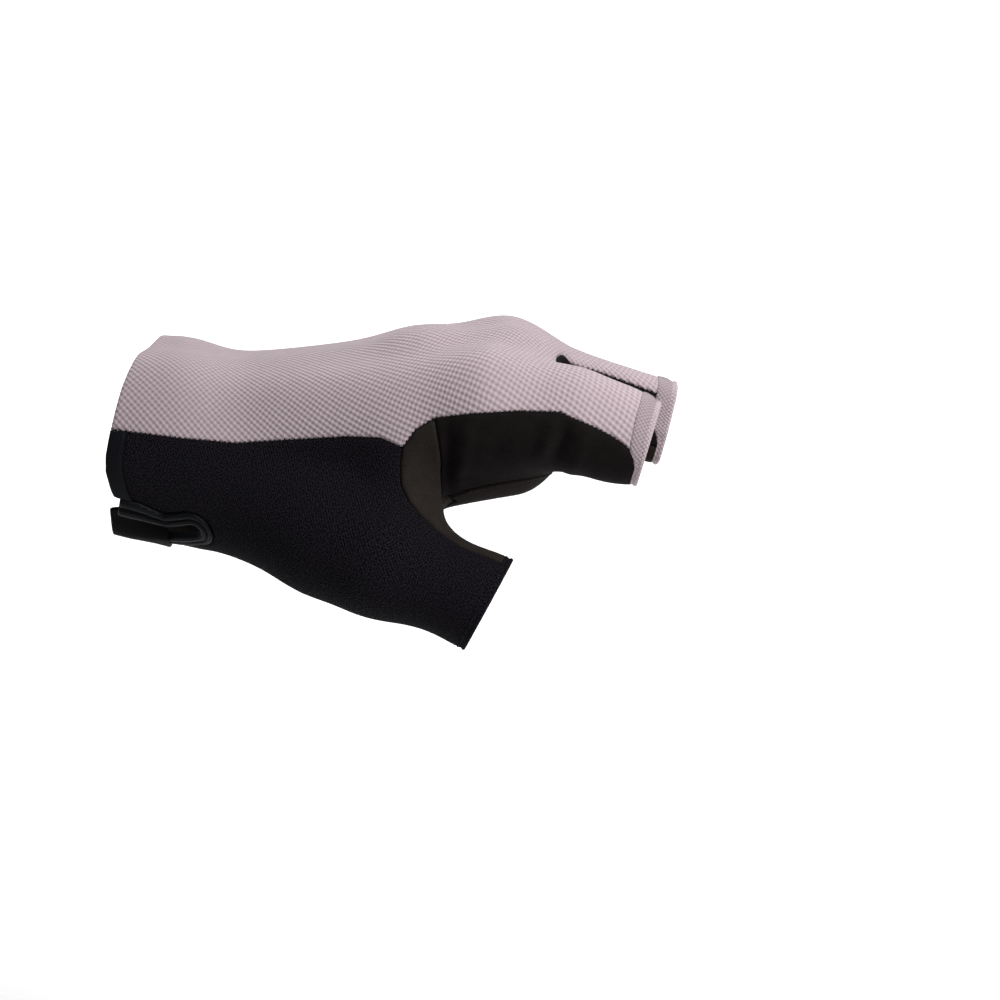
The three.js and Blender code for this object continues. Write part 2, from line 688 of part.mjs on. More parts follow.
// Each panel is the surface cut in turn along the open ends, the hems, the areas before it and
// its own seams
function panels() {
  const surface = scoredForm();
  const sample = (fn) => surface.vertices.map(fn);
  const hems = HEM_AREAS.map((area) => sample((p) => -area(p)));
  const areas = PANELS.map((panel) => sample(panel.area));
  const ends = sample((p) => cloth(p) + SEAM_GAP / 2);
  const solids = PANELS.map((panel, n) => {
    if (!panel.name) return null;
    const others = areas.slice(0, n).map((values) => values.map((value) => -value));
    const fields = [ends, ...hems, ...others, areas[n]];
    const start = { ...surface, fields };
    const cut = fields.reduce((mesh, _, field) => trim(mesh, field, SEAM_GAP / 2), start);
    return piece(panel.name, thicken(largestPiece(cut), panel.raise), panel.look);
  });
  return solids.filter(Boolean);
}

// Goes outward from a point until the form has the value `level`
function castTo(start, direction, level) {
  let reach = 0;
  for (let i = 0; i < CAST_ROUNDS; i++) {
    reach += CAST_SHARE * (level - form(add(start, scale(direction, reach))));
  }
  return add(start, scale(direction, reach));
}

// Longest run of turns in which `side` is clear of its neighbours, at one distance inside the end
function clearTurns(spot, side) {
  const step = (2 * Math.PI) / TURN_COUNT;
  const isClear = (turn) => side(spot(turn)) > SEAM_GAP / 2;
  const turns = Array.from({ length: TURN_COUNT }, (_, i) => i * step);
  const start = turns.find((turn) => !isClear(turn - step) && isClear(turn));
  let finish = start;
  while (isClear(finish + step)) finish += step;
  const edge = (inside, outside) => {
    let [clear, blocked] = [inside, outside];
    for (let i = 0; i < TURN_HALVINGS; i++) {
      const middle = (clear + blocked) / 2;
      if (isClear(middle)) clear = middle;
      else blocked = middle;
    }
    return clear;
  };
  return [edge(start, start - step), edge(finish, finish + step)];
}

// Solid band along an open end
function rimSolid({ name, end, width = () => CUFF_BINDING_WIDTH, side, look }) {
  const out = unit(end.out);
  const sideways = unit(cross(out, [0, 1, 0]));
  const across = cross(out, sideways);
  const raise = side ? BINDING_RAISE : HEM_RAISE;
  const spot = (turn, share, level) => {
    const direction = add(scale(sideways, Math.cos(turn)), scale(across, Math.sin(turn)));
    const edge = castTo(end.at, direction, 0);
    const depth = share * (width(edge) - SEAM_GAP / 2);
    let start = sub(end.at, scale(out, depth));
    for (let i = 0; i < DEPTH_ROUNDS; i++) {
      start = sub(start, scale(out, depth - insideEnd(end, castTo(start, direction, 0))));
    }
    return castTo(start, direction, level);
  };
  const turns = (share) => (side ? clearTurns((turn) => spot(turn, share, 0), side) : [0, 2 * Math.PI]);
  const [first, last] = turns(0);
  const steps = side ? Math.ceil(((last - first) / (2 * Math.PI)) * CUFF_STEPS) : HEM_STEPS;
  const count = side ? steps + 1 : steps;
  const outer = [];
  const inner = [];
  const triangles = [];
  for (let row = 0; row <= RIM_ROWS; row++) {
    const share = row / RIM_ROWS;
    const [from, to] = turns(share);
    for (let i = 0; i < count; i++) {
      const turn = mix(from, to, i / steps);
      outer.push(spot(turn, share, raise));
      inner.push(spot(turn, share, -WALL));
    }
    for (let i = 0; row > 0 && i < steps; i++) {
      const here = row * count + i;
      const next = row * count + ((i + 1) % count);
      triangles.push([here, next, next - count], [here, next - count, here - count]);
    }
  }
  return piece(name, closeSkins(outer, inner, triangles), look);
}

// Strap: a flat tab that comes up round the wrist from the palm, passes through the slit
// and tucks under the upper edge of its binding, where its cuff side tapers
function strapPoint(x, arc, level) {
  const turn = arc / WRIST_RADIUS;
  const out = [0, -Math.cos(turn), -Math.sin(turn)];
  const centre = [x, WRIST_AXIS.y, WRIST_AXIS.z];
  return castTo(centre, out, level);
}

function wristStrap() {
  const [, neck, mouth] = SLIT;
  const outer = [];
  const inner = [];
  const triangles = [];
  const under = -WALL - SEAM_GAP - STRAP_THICKNESS;
  const over = BINDING_RAISE + SEAM_GAP;
  for (let i = 0; i <= STRAP_STEPS_ACROSS; i++) {
    const x = mix(STRAP_LEFT, STRAP_RIGHT, i / STRAP_STEPS_ACROSS);
    const t = (neck.x - x) / (neck.x - mouth.x);
    const centre = mix(neck.arc, mouth.arc, t);
    const half = mix(neck.r, mouth.r, t) * STRAP_CROSSING;
    for (let j = 0; j <= STRAP_STEPS_ALONG; j++) {
      const arc = mix(centre - half - STRAP_TUCK, STRAP_END_ARC, j / STRAP_STEPS_ALONG);
      const rise = THREE.MathUtils.smoothstep(arc, centre - half, centre + half);
      const level = mix(under, over, rise);
      const past = arc - centre + half;
      const narrow = 1 - THREE.MathUtils.smoothstep(past, STRAP_TAPER_FROM, STRAP_TAPER_TO);
      const at = mix(x + STRAP_TAPER * narrow, x, i / STRAP_STEPS_ACROSS);
      outer.push(strapPoint(at, arc, level + STRAP_THICKNESS));
      inner.push(strapPoint(at, arc, level));
      if (i > 0 && j > 0) {
        const corner = i * (STRAP_STEPS_ALONG + 1) + j;
        const left = corner - STRAP_STEPS_ALONG - 1;
        triangles.push([left - 1, left, corner], [left - 1, corner, corner - 1]);
      }
    }
  }
  return piece('wrist_strap', closeSkins(outer, inner, triangles), LOOKS.webbing);
}

const glove = new THREE.Group();
glove.name = 'cycling_glove';
glove.add(...panels(), ...RIMS.map(rimSolid), wristStrap());

export default glove;
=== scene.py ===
import math
from functools import lru_cache, partial

import bpy
import numpy as np
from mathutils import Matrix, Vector


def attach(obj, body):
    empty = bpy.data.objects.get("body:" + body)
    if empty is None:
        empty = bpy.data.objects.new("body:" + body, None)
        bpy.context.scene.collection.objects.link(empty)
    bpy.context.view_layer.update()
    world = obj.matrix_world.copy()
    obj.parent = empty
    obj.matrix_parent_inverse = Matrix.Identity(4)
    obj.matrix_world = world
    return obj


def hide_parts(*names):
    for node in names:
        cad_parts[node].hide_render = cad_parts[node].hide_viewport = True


bl_info = {
    "name": "Cycling Glove",
    "version": (1, 0, 0),
    "blender": (4, 5, 0),
    "location": "View3D > Sidebar > Glove",
    "description": "Dresses the packed frame of a worn short-finger cycling glove",
    "category": "Add Mesh",
}

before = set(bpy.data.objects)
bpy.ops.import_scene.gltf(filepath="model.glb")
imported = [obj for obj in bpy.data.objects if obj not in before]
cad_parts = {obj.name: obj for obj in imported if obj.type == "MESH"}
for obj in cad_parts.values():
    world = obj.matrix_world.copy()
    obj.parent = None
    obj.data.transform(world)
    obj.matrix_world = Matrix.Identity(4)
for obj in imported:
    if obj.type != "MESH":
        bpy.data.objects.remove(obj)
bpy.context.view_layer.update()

# Sizes in millimetres, as in the part's source
MM = 0.001
WALL = 1.5
SEAM_GAP = 0.03
BLEND = 3
SLOT_HALF_WIDTH = 1.1
SLOT_FLARE = 0.3
SLOT_FLARE_HEIGHT = 12
SLOT_FLARE_RUN = 10
SLOT_ROUNDING = 0.7
SLOT_LINE_OFFSET = 2.86
GUSSET_HALF_HEIGHT = 4.4
GUSSET_LEAD = 3
# Width of a finger's hem at heights over the finger's centre line
HEM_WIDTH = ((-20, 1.3), (-4, 1.4), (-1.5, 2.4), (0.5, 3.9), (3, 4.4), (9, 5))
HEM_RAISE = 0.35
HEM_GROOVE = 1.35
HEM_GROOVE_WIDTH = 0.4
HEM_GROOVE_DEPTH = 0.55
THUMB_HEM_WIDTH = 1.8
THUMB_HEM_RAISE = 0.2
THUMB_HEM_GROOVE_DEPTH = 0.4
CUFF_BINDING_WIDTH = 3.8
BINDING_RAISE = 0.6
BAND_OVERLAP = 0.6
STRAP_THICKNESS = 1.0
STRAP_LEFT = -7.8
STRAP_RIGHT = 7.6
STRAP_TUCK = 5
STRAP_CROSSING = 0.8
STRAP_TAPER = 5
STRAP_TAPER_SPAN = (-2.5, 1.5)
STRAP_END_ARC = 54
# Gap between the strap and the inside of the wall where it is tucked in, and its height over
# the form past the slit
STRAP_UNDER = 0.3
STRAP_OVER = 0.35
# Width and drop of the rounding along the strap's edges. The length is rough and serves only the
# rounding of the two ends.
STRAP_EDGE_ROUND = 0.5
STRAP_EDGE_DROP = 0.4
STRAP_LENGTH = 40
RANGE_STEEPNESS = 20
GRID_BOX = ((-14, 154), (-74, 50), (-64, 36))
COARSE = 5
# A search along a ray: its rounds, and the share of the missing height that each one goes
CAST_ROUNDS = 40
CAST_SHARE = 0.9

# Limbs: round cones from a centre and radius to another centre and radius
LIMBS = {
    "wrist_radial": ((-34, -10, 0.8), 23, (6, -10, 1), 22),
    "wrist_ulnar": ((-34, 11, 2.6), 23.6, (6, 11, 1), 21),
    "cuff_palm": ((4, -12, -3.4), 20.8, (12, -12.5, -5), 20.8),
    "index_ray": ((18, -12, 0.5), 16.2, (92, -26.5, 13.2), 14.5),
    "index_base": ((92, -26.5, 13.2), 14.5, (113, -28.7, 11.9), 11.3),
    "index_middle": ((113, -28.7, 11.9), 11.3, (126, -29.3, 7.5), 10.5),
    "index_end": ((126, -29.3, 7.5), 10.5, (152, -30, -0.6), 8.6),
    "middle_ray": ((18, -4, 1.2), 15.5, (76, -7, 13.8), 14),
    "middle_knuckle": ((76, -7, 13.8), 14, (98, -8, 15.5), 13.2),
    "middle_end": ((98, -8, 15.5), 13.2, (156, -8.5, 0), 10.2),
    "ring_ray": ((18, 5, 1), 15.3, (74, 10.4, 10.3), 13.1),
    "ring_knuckle": ((74, 10.4, 10.3), 13.1, (96, 12, 13), 12.8),
    "ring_end": ((96, 12, 13), 12.8, (150, 12.5, -8), 9.8),
    "little_ray": ((18, 13, -1), 15.3, (86, 30, 6.5), 11.5),
    "little_end": ((86, 30, 6.5), 11.5, (136, 31.5, -13), 9),
    "thenar_heel": ((24, -19, -9.7), 17.2, (50, -33.3, -18.4), 14.8),
    "thenar_top": ((50, -33.3, -18.4), 14.8, (64, -41, -22.2), 14),
    "thumb_base": ((64, -41, -22.2), 13.8, (92, -48, -32.8), 11.2),
    "thumb_end": ((92, -48, -32.8), 11.2, (112, -53, -45.6), 10.2),
    "thumb_web": ((70, -28, 4), 9.5, (68, -41, -21), 9.4),
    "palm_heel": ((20, 12, -6), 15, (60, 26, -4), 13),
    "palm_pad": ((60, -20, -5.6), 12.4, (97, -18, 0.6), 12.7),
}
FINGERS = {
    "index": ("index_ray", "index_base", "index_middle", "index_end"),
    "middle": ("middle_ray", "middle_knuckle", "middle_end"),
    "ring": ("ring_ray", "ring_knuckle", "ring_end"),
    "little": ("little_ray", "little_end"),
}
# Gaps between fingers: y of the middle of the gap, and x of the web at its foot
SLOTS = {
    "index_middle": (("index", "middle"), -18.3, 112),
    "middle_ring": (("middle", "ring"), 2.2, 114),
    "ring_little": (("ring", "little"), 21.8, 104),
}
# Above this height at the web, and its fall towards the fingertips, a gap opens like a V
SLOT_HEIGHTS = {"index_middle": (12, 0.27), "middle_ring": (8.6, 0.33), "ring_little": (4.7, 0.39)}
# Open ends: a point on the end's plane, the way out, and the box that the end acts in
NO_LIMIT = 1000
ENDS = {
    "cuff": ((-2.3, 0, 0), (-1, 0.119, 0.165), None),
    "index": ((134.4, -29, 6), (1, -0.12, -0.28), ((100, -NO_LIMIT, -14), (NO_LIMIT, -18.3, NO_LIMIT))),
    "middle": ((139.6, -8, 5), (1, 0, -0.26), ((100, -18.3, -NO_LIMIT), (NO_LIMIT, 2.2, NO_LIMIT))),
    "ring": ((134, 12, 0), (1, 0, -0.3), ((100, 2.2, -NO_LIMIT), (NO_LIMIT, 21.8, NO_LIMIT))),
    "little": ((118, 30, -6), (1, 0, -0.3), ((100, 21.8, -NO_LIMIT), (NO_LIMIT,) * 3)),
    "thumb": ((90.6, -48, -36), (0.8, -0.15, -0.41), ((60, -NO_LIMIT, -NO_LIMIT), (NO_LIMIT, -25, -14))),
}

# Every open end but the cuff has a turned hem
HEMMED = [end for end in ENDS if end != "cuff"]

# Curve of the cuff's edge: z, and how far it lies past its plane. The curve is full on the
# thumb side of the first y and has run out at the second.
CUFF_CURVE = (
    (-22, -1.2), (-16, -2.3), (-10.5, -2.6), (-6.7, -0.6), (-1.2, 1.4), (3, 2), (19, 2), (24, 1.6),
)
CUFF_CURVE_Y = (-10, 10)

# Side drawing: the glove from the thumb side, a little from above
SHEET_TILT = math.radians(18)
SHEET_DISTANCE = 1100
SHEET_CENTRE = (95, -18.9)

# Seams as (along, up) on the side drawing
BACK_SEAM = (
    (-9.4, 0), (8.6, -2.2), (23.5, -3.5), (53.2, -1.9), (62.6, -2.2), (68.6, -4.9), (72.1, 0),
    (77.2, 3.2), (86.9, 4.3), (100.4, 5.1), (111.2, 4.8), (115, 3),
    (119.9, 0.9), (124.7, -1.5), (128.5, -4), (131, -6.4), (132.3, -9.7), (133.2, -16),
)
BACK_SEAM_SIDE = -26
INDEX_PALM_SEAM = ((77, -20), (86.9, -16.2), (95, -14.6), (111.2, -11.6), (117, -60))
# Seams as (up, along) on the side drawing
CROTCH_SEAM = (
    (-40, 112), (-33.2, 92.3), (-30, 84.2), (-27.3, 78.8), (-23.5, 74.5), (-19.2, 70.7),
    (-14.9, 68.3), (-8.9, 68), (-5.4, 68.6),
)
INDEX_FOLD = ((-26, 150), (-23, 79.7), (-14.8, 79.9), (-6.7, 78.8), (3.2, 77.2))
# Seams on the underside as (x, y)
INDEX_UNDER_SEAM = ((77, -20), (105, -22), (112, -27), (120, -29.5))
THUMB_PALM_SEAM = ((-12, -3), (8, -12), (20, -17), (45, -26), (64, -34), (70, -33))
# Limits of the patch in the crotch of the thumb: x, z, and the slant of its end. The slant
# starts at a height and runs on for a rise.
CROTCH_END = (84, -14, 0.7)
CROTCH_SLANT_FROM = -12
CROTCH_SLANT_RISE = 4
CROTCH_PALM_PLANE = (-25.4, 0.28)
THUMB_AXIS = ((64, -41, -22.2), (112, -53, -45.6))
THUMB_INNER = {"middle": 150, "half": 72, "radius": 12, "x_min": 74}

# The slit in the cuff on the unrolled wrist: x, arc down from the thumb side, radius
WRIST_AXIS = (-11, -2)
WRIST_RADIUS = 25
SLIT = ((14.4, 15.6, 2.2), (8, 19, 2.6), (-12, 23.5, 10.4))
CUFF_BAND_SPLIT = -18
SLIT_BAND = ((-8, 8), (0, 7.2), (8, 4.2), (16, 3.2))
# The band's middle line is traced from a place inside the slit: where the trace starts, how far
# out it may go, its rounds, the share of the missing distance that each one goes, and how far
# inside the cuff's edge the line ends
SLIT_MIDDLE = (9.0, 18.6)
TRACE_START = 2.0
TRACE_REACH = 24
TRACE_ROUNDS = 200
TRACE_SHARE = 0.4
TRACE_INSIDE = 0.3
# The tape's ridges: level of the groove over the form, height of the ridges, and the width of
# tape from which they have their full height
TAPE_GROOVE_LEVEL = BINDING_RAISE - 0.7
TAPE_RIDGE = 1.1
TAPE_FULL_WIDTH = 6
# Rounding of the tape's two ends: how steep it is, and its share of an edge's dip
TAPE_END_STEEPNESS = 1.5
TAPE_END_SHARE = 0.5

# Folds on the side drawing: (along, up) of both ends, half width and height
FOLDS = (
    ((87, 2.5), (83.6, -13), 2.2, 0.95),
    ((80.8, 2), (81, -18), 1.7, -0.9),
    ((95.5, 0), (92, -12), 3.6, -0.6),
    ((110.5, 3.5), (105.8, -6.5), 1.9, 1.0),
    ((113.4, 0.5), (109.6, -8.5), 1.7, -1.5),
    ((118.5, -1), (114, -12), 2, 0.8),
)

# Share of a fold's length over which it fades at each end, and its height left there
FOLD_FADE = 0.25
FOLD_END_SHARE = 0.4
# y where the folds start and where they are full
FOLD_SIDE = (-19, -23)

# Dark end of the strip between index and middle finger: along, up and radius on the side drawing
GUSSET_TIP = ((111.9, 19.3, 1.45), (114.75, 17.5, 0.5), (118, 16.4, 0.35))
# Upper edge of that strip as (along, up)
GUSSET_TOP = ((112, 17.7), (118, 16.65), (119.3, 16.4), (123, 15.1), (128, 13.25), (136.9, 9.9), (142, 8))
GUSSET_NEAR_SIDE = -22.3

# How far past its edges a panel is laid out flat before it is cut
SKIN_MARGIN = 1.5
# How far the cloth dips towards its sewn edge, and over how much of it
EDGE_DROP = 0.75
EDGE_ROUND = 1.1
EDGE_ROWS = (0.25, 0.6, 1.1)

# Rows of stitches: distance from one to the next, length and radius
BACK_STITCHES = (1.3, 1.3, 0.22)
INDEX_STITCHES = (2.0, 1.5, 0.17)
SLOT_STITCHES = (1.3, 0.9, 0.2)
# How far the stitches stay clear of open ends and hems
STITCH_CLEARANCE = 0.6
# Where the row on the index finger runs: x, largest y, and largest height on the side drawing
INDEX_STITCHES_X = (80, 111)
INDEX_STITCHES_SIDE = -19
INDEX_STITCHES_TOP = -8
# Where the row on the strip between index and middle finger runs on the side drawing, and how
# near to the strip's upper edge
SLOT_STITCHES_ALONG = (118, 139)
SLOT_STITCHES_NEAR = 0.6

# The camera looks at the middle of the photo's frame. The frame is 1000 pixels wide, and one
# pixel is 0.27 mm of the glove. The sensor's width is in millimetres.
PIXEL = 0.27
FRAME_PIXELS = 1000
SENSOR = 36
CAMERA_TARGET = (0.095, 0, SHEET_CENTRE[1] / math.cos(SHEET_TILT) * MM)
CAMERA_LENS = SENSOR * SHEET_DISTANCE / PIXEL / FRAME_PIXELS
CAMERA_CLIP = (0.05, 40)
FLOOR_HEIGHT = -0.24
FLOOR_PLACE = (0, 3.5, FLOOR_HEIGHT)
FLOOR_SIZE = 12
WORLD_STRENGTH = 0.3
# Name, place, the place that it shines on, size across and power of each soft light, in metres
STUDIO_LIGHTS = (
    ("key_light", (0.45, -0.3, 0.5), (0.72, 0.05, 0), 0.5, 9.5),
    ("backdrop_light", (0.1, 1.35, 0.7), (0.1, 1.3, FLOOR_HEIGHT), 1.6, 26),
)


# Geometry of the form

def rows(points):
    return np.asarray(points, dtype=float)


def unit(vector):
    vector = rows(vector)
    return vector / np.linalg.norm(vector, axis=-1, keepdims=True)


def dot(a, b):
    return np.sum(a * b, axis=-1)


def look_up(table, at):
    """Value of a table's second column where its first column is `at`."""
    first, second = np.array(table, dtype=float).T
    return np.interp(at, first, second)


def smooth_step(low, high, value):
    t = np.clip((value - low) / (high - low), 0, 1)
    return t * t * (3 - 2 * t)


def soft_max(a, b, width):
    return width * np.logaddexp(a / width, b / width)


LIMB_FROM = rows([limb[0] for limb in LIMBS.values()])
LIMB_AXIS = rows([limb[2] for limb in LIMBS.values()]) - LIMB_FROM
LIMB_R0 = rows([limb[1] for limb in LIMBS.values()])
LIMB_R1 = rows([limb[3] for limb in LIMBS.values()])


def beside_line(a, b, start, finish):
    """Share of the way along a line in a drawing, and distance from it."""
    da, db = finish[0] - start[0], finish[1] - start[1]
    t = np.clip(((a - start[0]) * da + (b - start[1]) * db) / (da * da + db * db), 0, 1)
    return t, np.hypot(a - start[0] - da * t, b - start[1] - db * t)


def slot_half_width(slot, p):
    height, fall = SLOT_HEIGHTS[slot]
    run = p[:, 0] - SLOTS[slot][2]
    rise = np.clip(p[:, 2] - height + fall * run, 0, SLOT_FLARE_HEIGHT)
    return SLOT_HALF_WIDTH + SLOT_FLARE * rise * np.clip(run / SLOT_FLARE_RUN, 0, 1)


def form_part(p):
    square = dot(p, p)[:, None] - 2 * (p @ LIMB_FROM.T) + dot(LIMB_FROM, LIMB_FROM)
    along = p @ LIMB_AXIS.T - dot(LIMB_FROM, LIMB_AXIS)
    length = dot(LIMB_AXIS, LIMB_AXIS)
    t = np.clip(along / length, 0, 1)
    away = np.sqrt(np.maximum(square - 2 * t * along + t * t * length, 0))
    away -= LIMB_R0 + (LIMB_R1 - LIMB_R0) * t
    value = -BLEND * np.log(np.maximum(np.exp(-away / BLEND).sum(axis=1), 1e-280))
    for slot, (_, y, web) in SLOTS.items():
        aside = np.abs(p[:, 1] - y) - slot_half_width(slot, p)
        gap = soft_max(aside, web - p[:, 0], SLOT_ROUNDING)
        value = soft_max(value, -gap, SLOT_ROUNDING)
    return value


def form(p):
    """Outer surface of the glove: negative inside, and nearly a distance close to it."""
    blocks = np.array_split(p, max(1, len(p) // 20000))
    return np.concatenate([form_part(block) for block in blocks])


def gradient(value, p, step=0.05):
    sides = np.eye(3) * step
    return np.stack([(value(p + side) - value(p - side)) / (2 * step) for side in sides], axis=1)


def to_level(p, level, rounds=4):
    """Moves points along the gradient until the form has the value `level` there."""
    for _ in range(rounds):
        slope = gradient(form, p)
        off = form(p) - level
        p = p - slope * (off / np.maximum(dot(slope, slope), 1e-4))[:, None]
    return p


def grid_lines(span, step, fixed=()):
    stops = [span[0], *fixed, span[1]]
    parts = [
        np.linspace(low, high, max(1, round((high - low) / step)) + 1)[1:]
        for low, high in zip(stops, stops[1:])
    ]
    return np.concatenate([[span[0]], *parts])


def spread(values, shape):
    """Repeats a coarse grid's values over the fine grid."""
    for axis in range(3):
        values = np.repeat(values, COARSE, axis=axis)
    return values[:shape[0], :shape[1], :shape[2]]


def mesh_form(step):
    """Surface nets: one vertex in each cell that the surface passes through, and quads."""
    slot_lines = [y + side for _, y, _ in SLOTS.values() for side in (-SLOT_LINE_OFFSET, 0, SLOT_LINE_OFFSET)]
    xs = grid_lines(GRID_BOX[0], step)
    ys = grid_lines(GRID_BOX[1], step, slot_lines)
    zs = grid_lines(GRID_BOX[2], step)
    shape = (len(xs), len(ys), len(zs))
    middle = COARSE // 2
    coarse_lines = [
        lines[np.minimum(np.arange(0, len(lines), COARSE) + middle, len(lines) - 1)]
        for lines in (xs, ys, zs)
    ]
    coarse_grid = np.stack(np.meshgrid(*coarse_lines, indexing="ij"), axis=-1)
    coarse = form(coarse_grid.reshape(-1, 3)).reshape(coarse_grid.shape[:3])
    values = spread(coarse, shape).copy()
    near = np.nonzero(np.abs(values) < COARSE * step * 1.8 + 1)
    values[near] = form(np.stack([xs[near[0]], ys[near[1]], zs[near[2]]], axis=1))
    inside = values < 0
    corners = [(a, b, c) for a in (0, 1) for b in (0, 1) for c in (0, 1)]
    count = sum(
        inside[a:shape[0] - 1 + a, b:shape[1] - 1 + b, c:shape[2] - 1 + c].astype(int)
        for a, b, c in corners
    )
    active = (count > 0) & (count < 8)
    number = np.full(active.shape, -1)
    number[active] = np.arange(active.sum())
    i, j, k = np.nonzero(active)
    total = np.zeros((len(i), 3))
    crossings = np.zeros(len(i))
    for a in corners:
        for axis in range(3):
            if a[axis]:
                continue
            b = [a[n] + (n == axis) for n in range(3)]
            fa = values[i + a[0], j + a[1], k + a[2]]
            fb = values[i + b[0], j + b[1], k + b[2]]
            hit = (fa < 0) != (fb < 0)
            t = np.where(hit, fa / np.where(hit, fa - fb, 1), 0)[:, None]
            pa = np.stack([xs[i + a[0]], ys[j + a[1]], zs[k + a[2]]], axis=1)
            pb = np.stack([xs[i + b[0]], ys[j + b[1]], zs[k + b[2]]], axis=1)
            total += np.where(hit[:, None], pa + t * (pb - pa), 0)
            crossings += hit
    points = to_level(total / crossings[:, None], 0)
    quads = []
    for axis in range(3):
        here = np.take(inside, range(shape[axis] - 1), axis=axis)
        there = np.take(inside, range(1, shape[axis]), axis=axis)
        u, v = (axis + 1) % 3, (axis + 2) % 3
        spot = np.stack(np.nonzero(here != there), axis=1)
        fits = (spot[:, u] > 0) & (spot[:, v] > 0) & (spot[:, u] < shape[u] - 1) & (spot[:, v] < shape[v] - 1)
        spot = spot[fits]
        ring = []
        for du, dv in ((1, 1), (0, 1), (0, 0), (1, 0)):
            cell = spot.copy()
            cell[:, u] -= du
            cell[:, v] -= dv
            ring.append(number[tuple(cell.T)])
        quad = np.stack(ring, axis=1)
        turned = ~here[tuple(spot.T)]
        quad[turned] = quad[turned][:, ::-1]
        quads.append(quad)
    return points, np.concatenate(quads)


# Areas that the seams bound: positive inside, in millimetres along the surface

def drawn(p):
    """Place on the side drawing: along and up."""
    rise = p[:, 2] - SHEET_CENTRE[1] / math.cos(SHEET_TILT)
    up = rise * math.cos(SHEET_TILT) + p[:, 1] * math.sin(SHEET_TILT)
    back = p[:, 1] * math.cos(SHEET_TILT) - rise * math.sin(SHEET_TILT)
    shrink = SHEET_DISTANCE / (SHEET_DISTANCE + back)
    return SHEET_CENTRE[0] + (p[:, 0] - SHEET_CENTRE[0]) * shrink, SHEET_CENTRE[1] + up * shrink


def along_surface(value, p, normals, least_slope=0.3):
    slope = gradient(value, p)
    flat = slope - normals * dot(slope, normals)[:, None]
    return value(p) / np.maximum(np.linalg.norm(flat, axis=1), least_slope)


def finger_axis(finger, x):
    """y and z of a finger's centre line, which runs straight on past its last limb."""
    limbs = [LIMBS[name] for name in FINGERS[finger]]
    stops = rows([limbs[0][0], *[limb[2] for limb in limbs]])
    last = (stops[-1] - stops[-2]) / (stops[-1][0] - stops[-2][0])
    beyond = np.maximum(x - stops[-1][0], 0)
    return tuple(np.interp(x, stops[:, 0], stops[:, n]) + last[n] * beyond for n in (1, 2))


def between(axes, y):
    """Height of the line through the finger axes at y."""
    height = axes[0][1]
    for (y0, z0), (y1, z1) in zip(axes, axes[1:]):
        height = height + np.clip((y - y0) / (y1 - y0), 0, 1) * (z1 - z0)
    return height


def above_fingers(p):
    return p[:, 2] - between([finger_axis(finger, p[:, 0]) for finger in FINGERS], p[:, 1])


def inside_end(end, p):
    at, out, _ = ENDS[end]
    inside = -(p - rows(at)) @ unit(out)
    if end != "cuff":
        return inside
    return inside + look_up(CUFF_CURVE, p[:, 2]) * np.interp(p[:, 1], CUFF_CURVE_Y, (1, 0))


def outside_range(end, p):
    limits = ENDS[end][2]
    if limits is None:
        return np.full(len(p), -NO_LIMIT)
    low, high = rows(limits)
    return RANGE_STEEPNESS * np.max(np.maximum(low - p, p - high), axis=1)


def unrolled(p):
    """x and arc on the unrolled wrist."""
    return p[:, 0], WRIST_RADIUS * np.arctan2(WRIST_AXIS[1] - p[:, 2], WRIST_AXIS[0] - p[:, 1])


def slit_distance(x, arc):
    nearest = np.full(np.shape(x), float(NO_LIMIT))
    for start, finish in zip(SLIT, SLIT[1:]):
        t, gap = beside_line(x, arc, start, finish)
        nearest = np.minimum(nearest, gap - start[2] - (finish[2] - start[2]) * t)
    return nearest


def slit_band(p):
    return look_up(SLIT_BAND, p[:, 0]) - slit_distance(*unrolled(p))


def inner_thumb(p):
    """Millimetres inside the patch on the thumb's inner side."""
    start, finish = rows(THUMB_AXIS)
    axis = unit(finish - start)
    outward = unit(np.array([0, -1, 0]) + axis * axis[1])
    upward = np.cross(outward, axis)
    off = p - start
    turn = np.degrees(np.arctan2(off @ upward, off @ outward))
    away = np.abs((turn - THUMB_INNER["middle"] + 540) % 360 - 180)
    arc = np.radians(THUMB_INNER["half"] - away) * THUMB_INNER["radius"]
    return np.minimum(arc, p[:, 0] - THUMB_INNER["x_min"])


def finger_hem_width(finger, p):
    return look_up(HEM_WIDTH, p[:, 2] - finger_axis(finger, p[:, 0])[1])


def inside_ends(p):
    """Millimetres inside each open end, or outside the box that it acts in if that is more."""
    return [np.maximum(inside_end(end, p), outside_range(end, p)) for end in ENDS]


def hem_area(end, p):
    width = THUMB_HEM_WIDTH if end == "thumb" else finger_hem_width(end, p)
    return np.minimum(width - inside_end(end, p), -outside_range(end, p))


def gusset_area(slot, p):
    fingers, _, web = SLOTS[slot]
    axes = [finger_axis(finger, p[:, 0]) for finger in fingers]
    height = p[:, 2] - between(axes, p[:, 1])
    sides = np.minimum(p[:, 1] - axes[0][0], axes[1][0] - p[:, 1])
    low = np.min([GUSSET_HALF_HEIGHT - np.abs(height), p[:, 0] - web + GUSSET_LEAD, sides], axis=0)
    if slot != "index_middle":
        return low
    along, up = drawn(p)
    high = np.min([
        look_up(GUSSET_TOP, along) - up, height + GUSSET_HALF_HEIGHT, p[:, 0] - web,
        p[:, 1] - GUSSET_NEAR_SIDE, sides,
    ], axis=0)
    tip = np.full(len(p), -float(NO_LIMIT))
    for start, finish in zip(GUSSET_TIP, GUSSET_TIP[1:]):
        t, gap = beside_line(along, up, start, finish)
        tip = np.maximum(tip, start[2] + (finish[2] - start[2]) * t - gap)
    tip = np.minimum(tip, p[:, 1] - GUSSET_NEAR_SIDE)
    return np.max([low, high, tip], axis=0)


def above_seam(seam, p):
    along, up = drawn(p)
    return up - look_up(seam, along)


